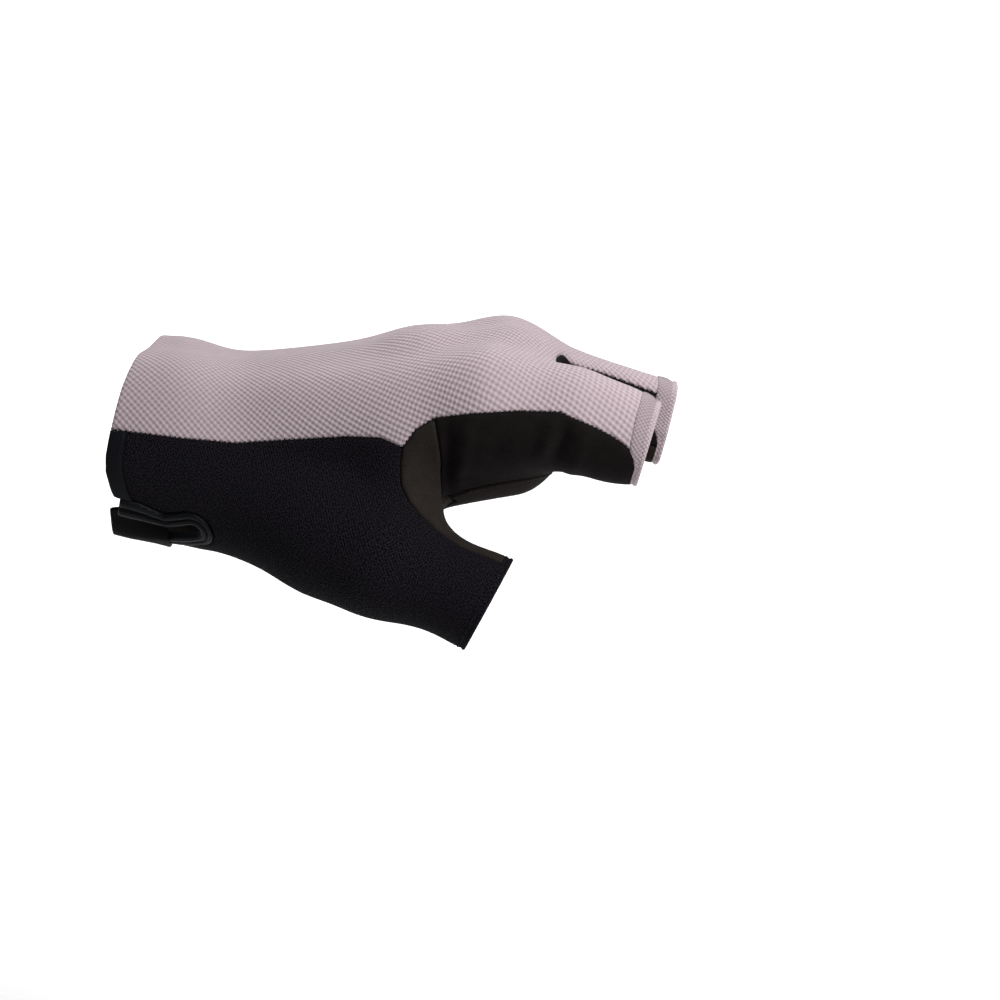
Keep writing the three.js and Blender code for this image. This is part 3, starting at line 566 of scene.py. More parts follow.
def past_seam(seam, p):
    along, up = drawn(p)
    return along - look_up(seam, up)


def beside_seam(seam, p):
    """How far on the thumb side of a seam on the underside."""
    return look_up(seam, p[:, 0]) - p[:, 1]


def crotch_palm_side(p):
    return CROTCH_PALM_PLANE[0] + CROTCH_PALM_PLANE[1] * p[:, 2] - p[:, 1]


def knit_area(p, normals):
    back = along_surface(partial(above_seam, BACK_SEAM), p, normals)
    ulnar = along_surface(above_fingers, p, normals)
    return np.minimum(back, np.maximum(ulnar, BACK_SEAM_SIDE - p[:, 1]))


def areas(p, normals):
    """Every area in the order in which the surface is given out."""
    index_side = np.min([
        along_surface(partial(past_seam, INDEX_FOLD), p, normals),
        along_surface(partial(above_seam, INDEX_PALM_SEAM), p, normals),
        along_surface(partial(beside_seam, INDEX_UNDER_SEAM), p, normals),
    ], axis=0)
    slant = CROTCH_END[2] * np.clip(p[:, 2] - CROTCH_SLANT_FROM, 0, CROTCH_SLANT_RISE)
    reach = np.maximum(CROTCH_END[1] - p[:, 2], CROTCH_END[0] - slant - p[:, 0])
    crotch = np.min([
        np.maximum(along_surface(partial(past_seam, CROTCH_SEAM), p, normals), inner_thumb(p)),
        along_surface(crotch_palm_side, p, normals),
        reach,
    ], axis=0)
    return {
        "slit_binding": slit_band(p),
        "index_middle_gusset": gusset_area("index_middle", p),
        "middle_ring_gusset": gusset_area("middle_ring", p),
        "ring_little_gusset": gusset_area("ring_little", p),
        "back_panel": knit_area(p, normals),
        "cuff_band": CUFF_BINDING_WIDTH - inside_end("cuff", p),
        "index_side_panel": index_side,
        "thumb_crotch_patch": crotch,
        "thumb_panel": along_surface(partial(beside_seam, THUMB_PALM_SEAM), p, normals),
        "palm_panel": np.full(len(p), float(NO_LIMIT)),
    }


def cloth_area(p):
    """Millimetres inside the cloth: clear of the open ends and of the slit."""
    return np.min([slit_distance(*unrolled(p)), *inside_ends(p)], axis=0)


@lru_cache(maxsize=2)
def glove_surface(step):
    """The form's surface in triangles, with its limits and areas."""
    points, quads = mesh_form(step)
    normals = unit(gradient(form, points))
    faces = np.concatenate([quads[:, [0, 1, 2]], quads[:, [0, 2, 3]]])
    limits = {"cloth": cloth_area(points)}
    limits.update({f"{end}_hem": -hem_area(end, points) for end in HEMMED})
    return points, faces, limits, areas(points, normals)


def folds(p):
    """Height of the wrinkles on the side that faces the thumb."""
    along, up = drawn(p)
    height = np.zeros(len(p))
    for start, finish, width, rise in FOLDS:
        t, gap = beside_line(along, up, start, finish)
        ends = smooth_step(0, FOLD_FADE, t) * smooth_step(0, FOLD_FADE, 1 - t)
        ends = ends * (1 - FOLD_END_SHARE) + FOLD_END_SHARE
        height += rise * np.exp(-(gap / width) ** 2) * ends
    return height * smooth_step(*FOLD_SIDE, p[:, 1])


# Cutting the surface

def crossed(faces, above):
    """Corners above in each face, and the faces that a level crosses, turned to start with the
    corner that is alone on its side."""
    count = above[faces].sum(axis=1)
    mixed = faces[(count == 1) | (count == 2)]
    flags = above[mixed]
    lone = np.where(flags.sum(axis=1) == 1, flags.argmax(axis=1), (~flags).argmax(axis=1))
    return count, np.take_along_axis(mixed, (lone[:, None] + np.arange(3)) % 3, axis=1)


def split(points, fields, faces, field, level, least_share=0.12):
    """Splits a mesh where one of its fields passes `level`; every field goes to the new vertices."""
    values = fields[field]
    above = values > level
    count, turned = crossed(faces, above)
    edges = np.concatenate([turned[:, [0, 1]], turned[:, [0, 2]]])
    low, high = edges.min(axis=1), edges.max(axis=1)
    keys, inverse = np.unique(low * len(points) + high, return_inverse=True)
    low, high = keys // len(points), keys % len(points)
    share = np.clip((level - values[low]) / (values[high] - values[low]), least_share, 1 - least_share)
    made = points[low] + share[:, None] * (points[high] - points[low])
    fresh = np.concatenate([points, to_level(made, 0, rounds=2)]) if len(made) else points
    carried = fields[:, low] + share * (fields[:, high] - fields[:, low])
    fields = np.concatenate([fields, carried], axis=1)
    cut = inverse.reshape(2, -1) + len(points)
    tip = np.stack([turned[:, 0], cut[0], cut[1]], axis=1)
    base = np.concatenate([
        np.stack([cut[0], turned[:, 1], turned[:, 2]], axis=1),
        np.stack([cut[0], turned[:, 2], cut[1]], axis=1),
    ])
    tip_above = above[turned[:, 0]]
    base_above = np.concatenate([~tip_above, ~tip_above])
    upper = np.concatenate([faces[count == 3], tip[tip_above], base[base_above]])
    lower = np.concatenate([faces[count == 0], tip[~tip_above], base[~base_above]])
    return fresh, fields, upper, lower


def compact(points, fields, faces):
    used, inverse = np.unique(faces, return_inverse=True)
    return points[used], fields[:, used], inverse.reshape(-1, 3)


def largest_piece(points, fields, faces):
    label = np.arange(len(points))
    while True:
        low = label[faces].min(axis=1)
        fresh = label.copy()
        np.minimum.at(fresh, faces.ravel(), np.repeat(low, 3))
        fresh = fresh[fresh]
        if (fresh == label).all():
            break
        label = fresh
    owner = label[faces[:, 0]]
    best = np.bincount(owner).argmax()
    return compact(points, fields, faces[owner == best])


def new_object(name, points, faces):
    """A mesh object from points in millimetres."""
    mesh = bpy.data.meshes.new(name)
    mesh.from_pydata((rows(points) * MM).tolist(), [], [list(map(int, face)) for face in faces])
    mesh.update()
    piece = bpy.data.objects.new(name, mesh)
    bpy.context.scene.collection.objects.link(piece)
    return piece


def select_only(piece):
    if bpy.context.mode != "OBJECT":
        bpy.ops.object.mode_set(mode="OBJECT")
    bpy.ops.object.select_all(action="DESELECT")
    piece.select_set(True)
    bpy.context.view_layer.objects.active = piece


def flat_places(points, faces):
    """Lays a skin out flat and returns each point's place in millimetres, with +U towards +X."""
    skin = new_object("flat_skin", points, faces)
    skin.data.uv_layers.new(name="flat")
    select_only(skin)
    bpy.ops.object.mode_set(mode="EDIT")
    bpy.ops.mesh.select_all(action="SELECT")
    bpy.ops.uv.unwrap(method="ANGLE_BASED", margin=0)
    bpy.ops.object.mode_set(mode="OBJECT")
    loops = len(skin.data.loops)
    spots = np.zeros(loops * 2)
    skin.data.uv_layers["flat"].data.foreach_get("uv", spots)
    owners = np.zeros(loops, dtype=int)
    skin.data.loops.foreach_get("vertex_index", owners)
    places = np.zeros((len(points), 2))
    places[owners] = spots.reshape(-1, 2)
    mesh = skin.data
    bpy.data.objects.remove(skin)
    bpy.data.meshes.remove(mesh)
    a, b, c = (points[faces[:, n]] for n in range(3))
    real = np.linalg.norm(np.cross(b - a, c - a), axis=1)
    a, b, c = (places[faces[:, n]] for n in range(3))
    flat = (b - a)[:, 0] * (c - a)[:, 1] - (b - a)[:, 1] * (c - a)[:, 0]
    if flat.sum() < 0:
        places[:, 0] *= -1
    ratio = np.sqrt(np.median(real / np.maximum(np.abs(flat), 1e-12)))
    places *= ratio
    fit = np.linalg.lstsq(np.column_stack([places, np.ones(len(places))]), points[:, 0], rcond=None)[0]
    turn = math.atan2(fit[1], fit[0])
    spin = np.array([[math.cos(turn), -math.sin(turn)], [math.sin(turn), math.cos(turn)]])
    return places @ spin


def panel_skin(name, step):
    """One panel's skin on the form: points, depth inside its edge, flat places and triangles."""
    points, faces, limits, zones = glove_surface(step)
    names = list(zones)
    others = [-zones[other] for other in names[:names.index(name)]]
    fields = np.stack([*limits.values(), *others, zones[name]])
    near = fields.min(axis=0) > -SKIN_MARGIN
    points, fields, faces = largest_piece(*compact(points, fields, faces[near[faces].any(axis=1)]))
    fields = np.concatenate([fields, flat_places(points, faces).T])
    for field in range(len(fields) - 2):
        points, fields, faces, _ = split(points, fields, faces, field, SEAM_GAP / 2)
    points, fields, faces = largest_piece(points, fields, faces)
    depth = fields[:-2].min(axis=0) - SEAM_GAP / 2
    fields = np.concatenate([depth[None], fields[-2:]])
    for row in EDGE_ROWS:
        points, fields, upper, lower = split(points, fields, faces, 0, row)
        faces = np.concatenate([upper, lower])
    return points, fields[0], fields[1:].T, faces


def edge_dip(depth):
    """The cloth rounds down towards its sewn edge."""
    t = 1 - np.clip(depth / EDGE_ROUND, 0, 1)
    return -EDGE_DROP * (1 - np.sqrt(np.maximum(1 - t * t, 0)))


def open_edges(faces):
    """Directed edges that only one face has."""
    edges = np.concatenate([faces[:, [0, 1]], faces[:, [1, 2]], faces[:, [2, 0]]])
    size = faces.max() + 1
    keys = edges[:, 0] * size + edges[:, 1]
    back = edges[:, 1] * size + edges[:, 0]
    return edges[~np.isin(keys, back)]


def close_skins(name, outer, inner, faces, places):
    """Closes two matching skins into a solid that carries its flat places as a UV map."""
    count = len(outer)
    rim = open_edges(faces)
    walls = np.stack([rim[:, 1], rim[:, 0], rim[:, 0] + count, rim[:, 1] + count], axis=1)
    polygons = [*faces.tolist(), *(faces[:, [0, 2, 1]] + count).tolist(), *walls.tolist()]
    piece = new_object(name, np.concatenate([outer, inner]), polygons)
    set_places(piece, np.concatenate([places, places]))
    return piece


def set_places(piece, places):
    layer = piece.data.uv_layers.new(name="cloth")
    owners = np.zeros(len(piece.data.loops), dtype=int)
    piece.data.loops.foreach_get("vertex_index", owners)
    layer.data.foreach_set("uv", places[owners].ravel())


def smooth(piece, angle=50):
    select_only(piece)
    bpy.ops.object.shade_smooth_by_angle(angle=math.radians(angle))


def face_outward(piece):
    """Turns the sides of all faces outward."""
    select_only(piece)
    bpy.ops.object.mode_set(mode="EDIT")
    bpy.ops.mesh.select_all(action="SELECT")
    bpy.ops.mesh.normals_make_consistent(inside=False)
    bpy.ops.object.mode_set(mode="OBJECT")


def finish_piece(piece, material, nodes=()):
    piece.data.materials.clear()
    piece.data.materials.append(material)
    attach(piece, "root")
    if nodes:
        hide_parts(*nodes)
    return piece


def cloth_panel(area, step, raised=0.0, dip=1.0):
    """A panel cut from the form along its seams, and as thick as its cloth."""
    points, depth, places, faces = panel_skin(area, step)
    shift = folds(points)
    outer = to_level(points, raised + dip * edge_dip(depth) + shift)
    inner = to_level(points, shift - WALL)
    piece = close_skins(f"{area}_cloth", outer, inner, faces, places)
    smooth(piece)
    return piece


# Open ends and bindings

def cast_to(start, direction, level):
    """Goes out from points until the form has the value `level`."""
    reach = np.zeros(len(direction))
    for _ in range(CAST_ROUNDS):
        reach += CAST_SHARE * (level - form(start + direction * reach[:, None]))
    return start + direction * reach[:, None]


def end_frame(end):
    at, out, _ = ENDS[end]
    out = unit(out)
    sideways = unit(np.cross(out, [0, 1, 0]))
    return rows(at), out, sideways, np.cross(out, sideways)


def end_point(end, turn, depth, level):
    """Point at a turn round an open end, a depth inside it, at a level of the form."""
    at, out, sideways, across = end_frame(end)
    direction = sideways * np.cos(turn)[:, None] + across * np.sin(turn)[:, None]
    depth = np.broadcast_to(depth, turn.shape)
    start = at - out * depth[:, None]
    for _ in range(4 if end == "cuff" else 0):
        start = start - out * (depth - inside_end(end, cast_to(start, direction, 0)))[:, None]
    return cast_to(start, direction, level)


def hem_width_at(end, turn):
    edge = end_point(end, turn, 0, 0)
    return np.full(len(turn), THUMB_HEM_WIDTH) if end == "thumb" else finger_hem_width(end, edge)


def round_section(count, blunt=0.45):
    """A rounded oblong: how far up and how far along each point is, from -1 to 1."""
    angle = np.arange(count) * 2 * math.pi / count
    up, along = np.cos(angle), np.sin(angle)
    return np.sign(up) * np.abs(up) ** blunt, np.sign(along) * np.abs(along) ** blunt


def edge_band(name, end, width, raised, turns=None, groove=0.0, around=120, section=40):
    """A turned hem or a binding along an open end: all the way round, or between two turns."""
    closed = turns is None
    share = np.arange(around) / around if closed else np.linspace(0, 1, around)
    height, length = round_section(section)
    inward = 0.5 - 0.5 * length
    near, far = ((0, 2 * math.pi),) * 2 if closed else (turns(0), turns(width))
    start = near[0] + (far[0] - near[0]) * inward
    finish = near[1] + (far[1] - near[1]) * inward
    turn = (start + share[:, None] * (finish - start)).ravel()
    reach = hem_width_at(end, turn) if width is None else np.full(len(turn), float(width))
    depth = (reach + BAND_OVERLAP) * np.tile(inward, around)
    middle, half = (raised - WALL) / 2, (raised + WALL) / 2
    level = middle + half * np.tile(height, around)
    if groove:
        dip = np.exp(-((depth - HEM_GROOVE) / HEM_GROOVE_WIDTH) ** 2)
        level -= groove * dip * np.tile(height > 0, around)
    points = end_point(end, turn, depth, level)
    ring = np.arange(around if closed else around - 1)[:, None] * section
    spot = np.arange(section)
    low, high = ring, (ring + section) % (around * section)
    after = (spot + 1) % section
    polygons = np.stack([low + spot, high + spot, high + after, low + after], axis=-1).reshape(-1, 4).tolist()
    if not closed:
        polygons += [list(spot), list((around - 1) * section + spot)[::-1]]
    piece = new_object(name, points, polygons)
    run = np.linalg.norm(np.diff(points[::section], axis=0), axis=1).sum()
    set_places(piece, np.column_stack([np.repeat(share, section) * run, depth]))
    face_outward(piece)
    smooth(piece, 70)
    return piece


def clear_turns(depth, is_clear, count=1440):
    """The longest run of turns round the cuff where `is_clear` holds."""
    step = 2 * math.pi / count
    turn = np.arange(count) * step
    clear = is_clear(end_point("cuff", turn, depth, 0))
    start = np.nonzero(~clear)[0][0]
    best, run = (0, 0), 0
    for n in range(count):
        run = run + 1 if clear[(start + n) % count] else 0
        if run > best[1]:
            best = (n - run + 1, run)
    return (start + best[0]) * step, (start + best[0] + best[1] - 1) * step


def dark_cuff(p):
    normals = unit(gradient(form, p))
    return np.minimum(-knit_area(p, normals), -slit_band(p)) > SEAM_GAP / 2


def thumb_cuff(p):
    return dark_cuff(p) & (p[:, 1] < CUFF_BAND_SPLIT)


def palm_cuff(p):
    return dark_cuff(p) & (p[:, 1] > CUFF_BAND_SPLIT)


def tape(name, place, along, across):
    """A flat tape: `place` gives the outer and inner points and the flat places for u and v."""
    u = np.linspace(0, 1, along + 1)
    v = (1 - np.cos(np.linspace(0, math.pi, across + 1))) / 2
    grid_u, grid_v = (grid.ravel() for grid in np.meshgrid(u, v, indexing="ij"))
    outer, inner, places = place(grid_u, grid_v)
    corner = (np.arange(along)[:, None] * (across + 1) + np.arange(across)).ravel()
    near, far = corner + 1, corner + across + 1
    faces = np.concatenate([
        np.stack([corner, far, near], axis=1), np.stack([far, far + 1, near], axis=1),
    ])
    a, b, c = (outer[faces[:, n]] for n in range(3))
    if dot(np.cross(b - a, c - a), a - inner[faces[:, 0]]).sum() < 0:
        faces = faces[:, [0, 2, 1]]
    piece = close_skins(name, outer, inner, faces, places)
    smooth(piece, 55)
    return piece


def wrist_point(x, arc, level):
    """Point of the form over a place on the unrolled wrist."""
    turn = arc / WRIST_RADIUS
    direction = np.stack([np.zeros(len(turn)), -np.cos(turn), -np.sin(turn)], axis=1)
    start = np.stack([x, np.full(len(x), WRIST_AXIS[0]), np.full(len(x), WRIST_AXIS[1])], axis=1)
    return cast_to(start, direction, level)


def slit_line(count=240):
    """Middle of the band round the slit on the unrolled wrist, from one cuff edge to the other."""
    middle_x, middle_arc = SLIT_MIDDLE
    turn = np.linspace(0, 2 * math.pi, 1441)[:-1]
    reach = np.full(len(turn), TRACE_START)
    for _ in range(TRACE_ROUNDS):
        x, arc = middle_x + reach * np.cos(turn), middle_arc + reach * np.sin(turn)
        missing = look_up(SLIT_BAND, x) / 2 - slit_distance(x, arc)
        reach = np.clip(reach + TRACE_SHARE * missing, 0, TRACE_REACH)
    x, arc = middle_x + reach * np.cos(turn), middle_arc + reach * np.sin(turn)
    on_cloth = inside_end("cuff", wrist_point(x, arc, 0)) > TRACE_INSIDE
    start = np.nonzero(~on_cloth)[0][0]
    order = (np.arange(len(turn)) + start) % len(turn)
    line = np.stack([x, arc], axis=1)[order][on_cloth[order]]
    run = np.concatenate([[0], np.cumsum(np.linalg.norm(np.diff(line, axis=0), axis=1))])
    even = np.linspace(0, run[-1], count)
    return np.stack([np.interp(even, run, line[:, n]) for n in (0, 1)], axis=1), run[-1]


def slit_binding_place(u, v):
    """The band has two rounded ridges with a groove between them."""
    line, length = slit_line()
    share = np.linspace(0, 1, len(line))
    x, arc = (np.interp(u, share, line[:, n]) for n in (0, 1))
    width = look_up(SLIT_BAND, x)
    step = 0.05
    for _ in range(4):
        slope_x = (slit_distance(x + step, arc) - slit_distance(x - step, arc)) / (2 * step)
        slope_arc = (slit_distance(x, arc + step) - slit_distance(x, arc - step)) / (2 * step)
        off = v * width - slit_distance(x, arc)
        x, arc = x + slope_x * off, arc + slope_arc * off
    ridge = np.sqrt(np.abs(np.sin(2 * math.pi * v))) * np.minimum(width / TAPE_FULL_WIDTH, 1)
    ends = edge_dip(np.minimum(u, 1 - u) * length * TAPE_END_STEEPNESS)
    level = TAPE_GROOVE_LEVEL + TAPE_RIDGE * ridge + ends * TAPE_END_SHARE
    outer = wrist_point(x, arc, level)
    inner = wrist_point(x, arc, -WALL)
    return outer, inner, np.column_stack([u * length, v * width])


def strap_place(u, v):
    """The strap comes up round the wrist, goes through the slit and tucks under its band."""
    _, neck, mouth = SLIT
    x = STRAP_LEFT + (STRAP_RIGHT - STRAP_LEFT) * v
    t = (neck[0] - x) / (neck[0] - mouth[0])
    centre = neck[1] + (mouth[1] - neck[1]) * t
    half = (neck[2] + (mouth[2] - neck[2]) * t) * STRAP_CROSSING
    arc = centre - half - STRAP_TUCK + (STRAP_END_ARC - centre + half + STRAP_TUCK) * u
    x = x + STRAP_TAPER * (1 - v) * (1 - smooth_step(*STRAP_TAPER_SPAN, arc - centre + half))
    rise = smooth_step(centre - half, centre + half, arc)
    under = -WALL - STRAP_UNDER - STRAP_THICKNESS
    level = under + (STRAP_OVER - under) * rise
    width = STRAP_RIGHT - STRAP_LEFT
    edge = np.minimum(np.minimum(v, 1 - v) * width, np.minimum(u, 1 - u) * STRAP_LENGTH)
    soft = STRAP_EDGE_DROP * (1 - np.sqrt(1 - (1 - np.clip(edge / STRAP_EDGE_ROUND, 0, 1)) ** 2))
    outer = wrist_point(x, arc, level + STRAP_THICKNESS - soft)
    inner = wrist_point(x, arc, level + soft)
    return outer, inner, np.column_stack([arc, x])


# Stitches

def form_lines(values, keep, step):
    """Lines on the form where `values` pass zero, kept where `keep` holds, longest first."""
    points, faces, _, _ = glove_surface(step)
    _, turned = crossed(faces, values > 0)
    edges = np.stack([turned[:, [0, 1]], turned[:, [0, 2]]], axis=1)
    edges.sort(axis=2)
    keys, inverse = np.unique(edges[..., 0] * len(points) + edges[..., 1], return_inverse=True)
    low, high = keys // len(points), keys % len(points)
    share = values[low] / (values[low] - values[high])
    spots = points[low] + share[:, None] * (points[high] - points[low])
    kept = keep(spots)
    links = {}
    for a, b in inverse.reshape(-1, 2).tolist():
        if kept[a] and kept[b]:
            links.setdefault(a, []).append(b)
            links.setdefault(b, []).append(a)
    lines, used = [], set()
    for start in sorted(links, key=lambda spot: len(links[spot])):
        if start in used:
            continue
        line, spot = [], start
        while spot is not None:
            used.add(spot)
            line.append(spot)
            spot = next((other for other in links[spot] if other not in used), None)
        lines.append(to_level(spots[line], 0, rounds=2))
    return sorted(lines, key=len, reverse=True)


def even_line(line, pitch):
    """Places and directions at an even pitch along a line, once its small zigzags are smoothed."""
    for _ in range(6):
        line[1:-1] = (line[:-2] + 2 * line[1:-1] + line[2:]) / 4
    run = np.concatenate([[0], np.cumsum(np.linalg.norm(np.diff(line, axis=0), axis=1))])
    at = np.arange(pitch / 2, run[-1], pitch)
    spots = np.stack([np.interp(at, run, line[:, n]) for n in range(3)], axis=1)
    ahead = np.stack([np.interp(at + 0.3, run, line[:, n]) for n in range(3)], axis=1)
    behind = np.stack([np.interp(at - 0.3, run, line[:, n]) for n in range(3)], axis=1)
    return spots, unit(ahead - behind + 1e-9)


def stitch_template():
    """One stitch along X: a round thread that bows up and sinks in at both ends."""
    bpy.ops.object.select_all(action="DESELECT")
    bpy.ops.mesh.primitive_uv_sphere_add(segments=8, ring_count=8, radius=1)
    ball = bpy.context.object
    spots = np.zeros(len(ball.data.vertices) * 3)
    ball.data.vertices.foreach_get("co", spots)
    spots = spots.reshape(-1, 3)[:, [2, 0, 1]]
    faces = [list(face.vertices) for face in ball.data.polygons]
    mesh = ball.data
    bpy.data.objects.remove(ball)
    bpy.data.meshes.remove(mesh)
    return spots, faces


def stitches(name, lines, pitch, length, radius, turn=0.0, level=0.0):
    """A row of stitches along lines; `turn` is 0 for along the seam and 90 for across it."""
    template, faces = stitch_template()
    points, polygons, places = [], [], []
    for line in lines:
        spots, along = even_line(line.copy(), pitch)
        if not len(spots):
            continue
        spots = to_level(spots, 0, rounds=2)
        normals = unit(gradient(form, spots))
        along = unit(along - normals * dot(along, normals)[:, None])
        aside = np.cross(normals, along)
        lift = folds(spots) + level
        angle = math.radians(turn)
        ahead = along * math.cos(angle) + aside * math.sin(angle)
        across = np.cross(normals, ahead)
        for spot, up, front, side, rise in zip(spots, normals, ahead, across, lift):
            bow = 0.5 * radius * (1 - 2 * template[:, 0] ** 2)
            body = (
                spot + np.outer(template[:, 0] * length / 2, front)
                + np.outer(template[:, 1] * radius, side)
                + np.outer(template[:, 2] * radius + rise + bow, up)
            )
            base = len(points) * len(template)
            polygons += [[base + corner for corner in face] for face in faces]
            points.append(body)
            places.append(np.column_stack([template[:, 0] * length / 2, template[:, 1] * radius]))
    piece = new_object(name, np.concatenate(points), polygons)
    set_places(piece, np.concatenate(places))
    face_outward(piece)
    smooth(piece, 180)
    return piece


# Materials

def linear(hex_colour):
    """Linear red, green and blue of an sRGB hex colour."""
    parts = [int(hex_colour[n:n + 2], 16) / 255 for n in (1, 3, 5)]
    return tuple(c / 12.92 if c <= 0.04045 else ((c + 0.055) / 1.055) ** 2.4 for c in parts)


def add_node(tree, kind, inputs=None, output=0, **settings):
    """Adds a node with its settings, sets or links its inputs, and returns one of its outputs."""
    node = tree.nodes.new(kind)
    for name, value in settings.items():
        setattr(node, name, value)
    for name, value in (inputs or {}).items():
        if isinstance(value, bpy.types.NodeSocket):
            tree.links.new(value, node.inputs[name])
        else:
            node.inputs[name].default_value = value
    return node.outputs[output]


def start_material(name, roughness, sheen=0.0, sheen_tint=(1, 1, 1, 1), specular=0.5):
    material = bpy.data.materials.new(name)
    material.use_nodes = True
    tree = material.node_tree
    tree.nodes.clear()
    shader = tree.nodes.new("ShaderNodeBsdfPrincipled")
    shader.inputs["Roughness"].default_value = roughness
    shader.inputs["Sheen Weight"].default_value = sheen
    shader.inputs["Sheen Roughness"].default_value = 0.45
    shader.inputs["Sheen Tint"].default_value = sheen_tint
    shader.inputs["Specular IOR Level"].default_value = specular
    output = tree.nodes.new("ShaderNodeOutputMaterial")
    tree.links.new(shader.outputs[0], output.inputs[0])
    return material, tree, shader


def cloth_axes(tree, turn=0.0):
    """U and V of the piece's own flat places in millimetres, turned on the cloth."""
    places = add_node(tree, "ShaderNodeUVMap", uv_map="cloth")
    turned = add_node(tree, "ShaderNodeMapping", {"Vector": places, "Rotation": (0, 0, math.radians(turn))})
    u = add_node(tree, "ShaderNodeSeparateXYZ", {0: turned}, output=0)
    v = add_node(tree, "ShaderNodeSeparateXYZ", {0: turned}, output=1)
    return turned, u, v


def wave(tree, along, pitch):
    """Cosine with a pitch in millimetres."""
    phase = times(tree, along, 2 * math.pi / pitch)
    return add_node(tree, "ShaderNodeMath", {0: phase}, operation="COSINE")


def times(tree, a, b):
    return add_node(tree, "ShaderNodeMath", {0: a, 1: b}, operation="MULTIPLY")


def plus(tree, a, b):
    return add_node(tree, "ShaderNodeMath", {0: a, 1: b}, operation="ADD")


def noise(tree, places, size, detail=2.0):
    """Noise between 0 and 1 with a grain size in millimetres."""
    return add_node(
        tree, "ShaderNodeTexNoise", {"Vector": places, "Scale": 1 / size, "Detail": detail}, output=0
    )


def ramp(tree, value, low, high, first, second):
    """Goes from one value or colour to another as `value` goes from low to high."""
    share = add_node(tree, "ShaderNodeMapRange", {"Value": value, "From Min": low, "From Max": high})
    return add_node(
        tree, "ShaderNodeMix", {0: share, 6: first, 7: second}, output=2, data_type="RGBA"
    )


def finish_surface(tree, shader, colour, height, relief):
    """Links the colour, and bump from a height that spans one unit for `relief` millimetres."""
    bump = add_node(tree, "ShaderNodeBump", {"Strength": 1.0, "Distance": relief * MM, "Height": height})
    tree.links.new(colour, shader.inputs["Base Color"])
    tree.links.new(bump, shader.inputs["Normal"])


def shade(colour, share):
    """A colour made lighter or darker, with full alpha."""
    return (*[min(part * share, 1) for part in colour[:3]], 1)


def pits(tree, u, v, pitch_u, pitch_v):
    """A staggered lattice of small pits between round beads: 0 in a pit and 1 on a bead."""
    lattice = times(tree, wave(tree, u, pitch_u), wave(tree, v, pitch_v))
    return add_node(
        tree, "ShaderNodeMapRange", {"Value": lattice, "From Min": -0.95, "From Max": 0.6},
        interpolation_type="SMOOTHSTEP",
    )


def wandering(tree, places, u, v, size, reach):
    """Moves a pattern's lines a little to and fro, as in cloth that is pulled over a hand."""
    wander = add_node(tree, "ShaderNodeMath", {0: noise(tree, places, size), 1: 0.5}, operation="SUBTRACT")
    return plus(tree, u, times(tree, wander, reach)), plus(tree, v, times(tree, wander, -reach))


def stretched(tree, v, low, high, share):
    """Widens a pattern from one distance along X to another, as cloth is pulled over knuckles."""
    spot = add_node(tree, "ShaderNodeTexCoord", output=3)
    along = add_node(tree, "ShaderNodeSeparateXYZ", {0: spot}, output=0)
    pull = add_node(
        tree, "ShaderNodeMapRange",
        {"Value": along, "From Min": low, "From Max": high, "To Min": 1.0, "To Max": 1 - share},
        interpolation_type="SMOOTHSTEP",
    )
    return times(tree, v, pull)


def pique_knit(colour, pitch):
    """Polyester piqué: round beads in a staggered lattice with pits, matte, faintly lustrous. Its colour is
    painted darker in the pits as painted shade and lighter on the beads as painted highlights.
    """
    material, tree, shader = start_material("pique_knit", 0.8, sheen=0.08, specular=0.2)
    places, u, v = cloth_axes(tree)
    u, v = wandering(tree, places, u, v, 6, 0.9)
    v = stretched(tree, v, 0.05, 0.11, 0.2)
    beads = times(tree, wave(tree, u, pitch), wave(tree, v, pitch * 1.1))
    twill = times(tree, wave(tree, plus(tree, times(tree, u, 1.1), v), pitch * 1.1), 0.15)
    fuzz = times(tree, noise(tree, places, 0.3, 3), 0.9)
    height = plus(tree, plus(tree, beads, twill), fuzz)
    # Painted shade in the pits and painted highlights on the bead tops, taken from the knit's height
    bead_highlight_and_pit_shade = ramp(tree, height, -0.9, 1.3, shade(colour, 0.68), shade(colour, 1.17))
    patchy = ramp(tree, noise(tree, places, 14), 0.3, 0.7, (0.95, 0.95, 0.95, 1), (1, 1, 1, 1))
    tinted = add_node(
        tree, "ShaderNodeMix", {0: 1.0, 6: bead_highlight_and_pit_shade, 7: patchy}, output=2, data_type="RGBA",
        blend_type="MULTIPLY",
    )
    finish_surface(tree, shader, tinted, height, 0.13)
    return material


def knit_hem(colour):
    """The same knit turned over and sewn down: fine slanted ribs and a smooth lip at the edge. Its colour is
    painted darker in the rib grooves as painted shade, and lighter on the lip as a painted highlight.
    """
    material, tree, shader = start_material("knit_hem", 0.8, sheen=0.08, specular=0.2)
    places, u, v = cloth_axes(tree)
    ribs = times(tree, times(tree, wave(tree, u, 1.1), wave(tree, v, 1.3)), 0.7)
    fuzz = times(tree, noise(tree, places, 0.35, 3), 0.9)
    # Painted highlight on the rounded lip past the groove, added to the colour only
    lip_highlight = add_node(
        tree, "ShaderNodeMapRange", {"Value": v, "From Min": HEM_GROOVE + 0.25, "From Max": HEM_GROOVE - 0.1}
    )
    height = plus(tree, ribs, fuzz)
    lit = plus(tree, height, times(tree, lip_highlight, 1.1))
    finish_surface(
        tree, shader, ramp(tree, lit, -0.5, 2.1, shade(colour, 0.46), shade(colour, 1.16)), height, 0.14
    )
    return material


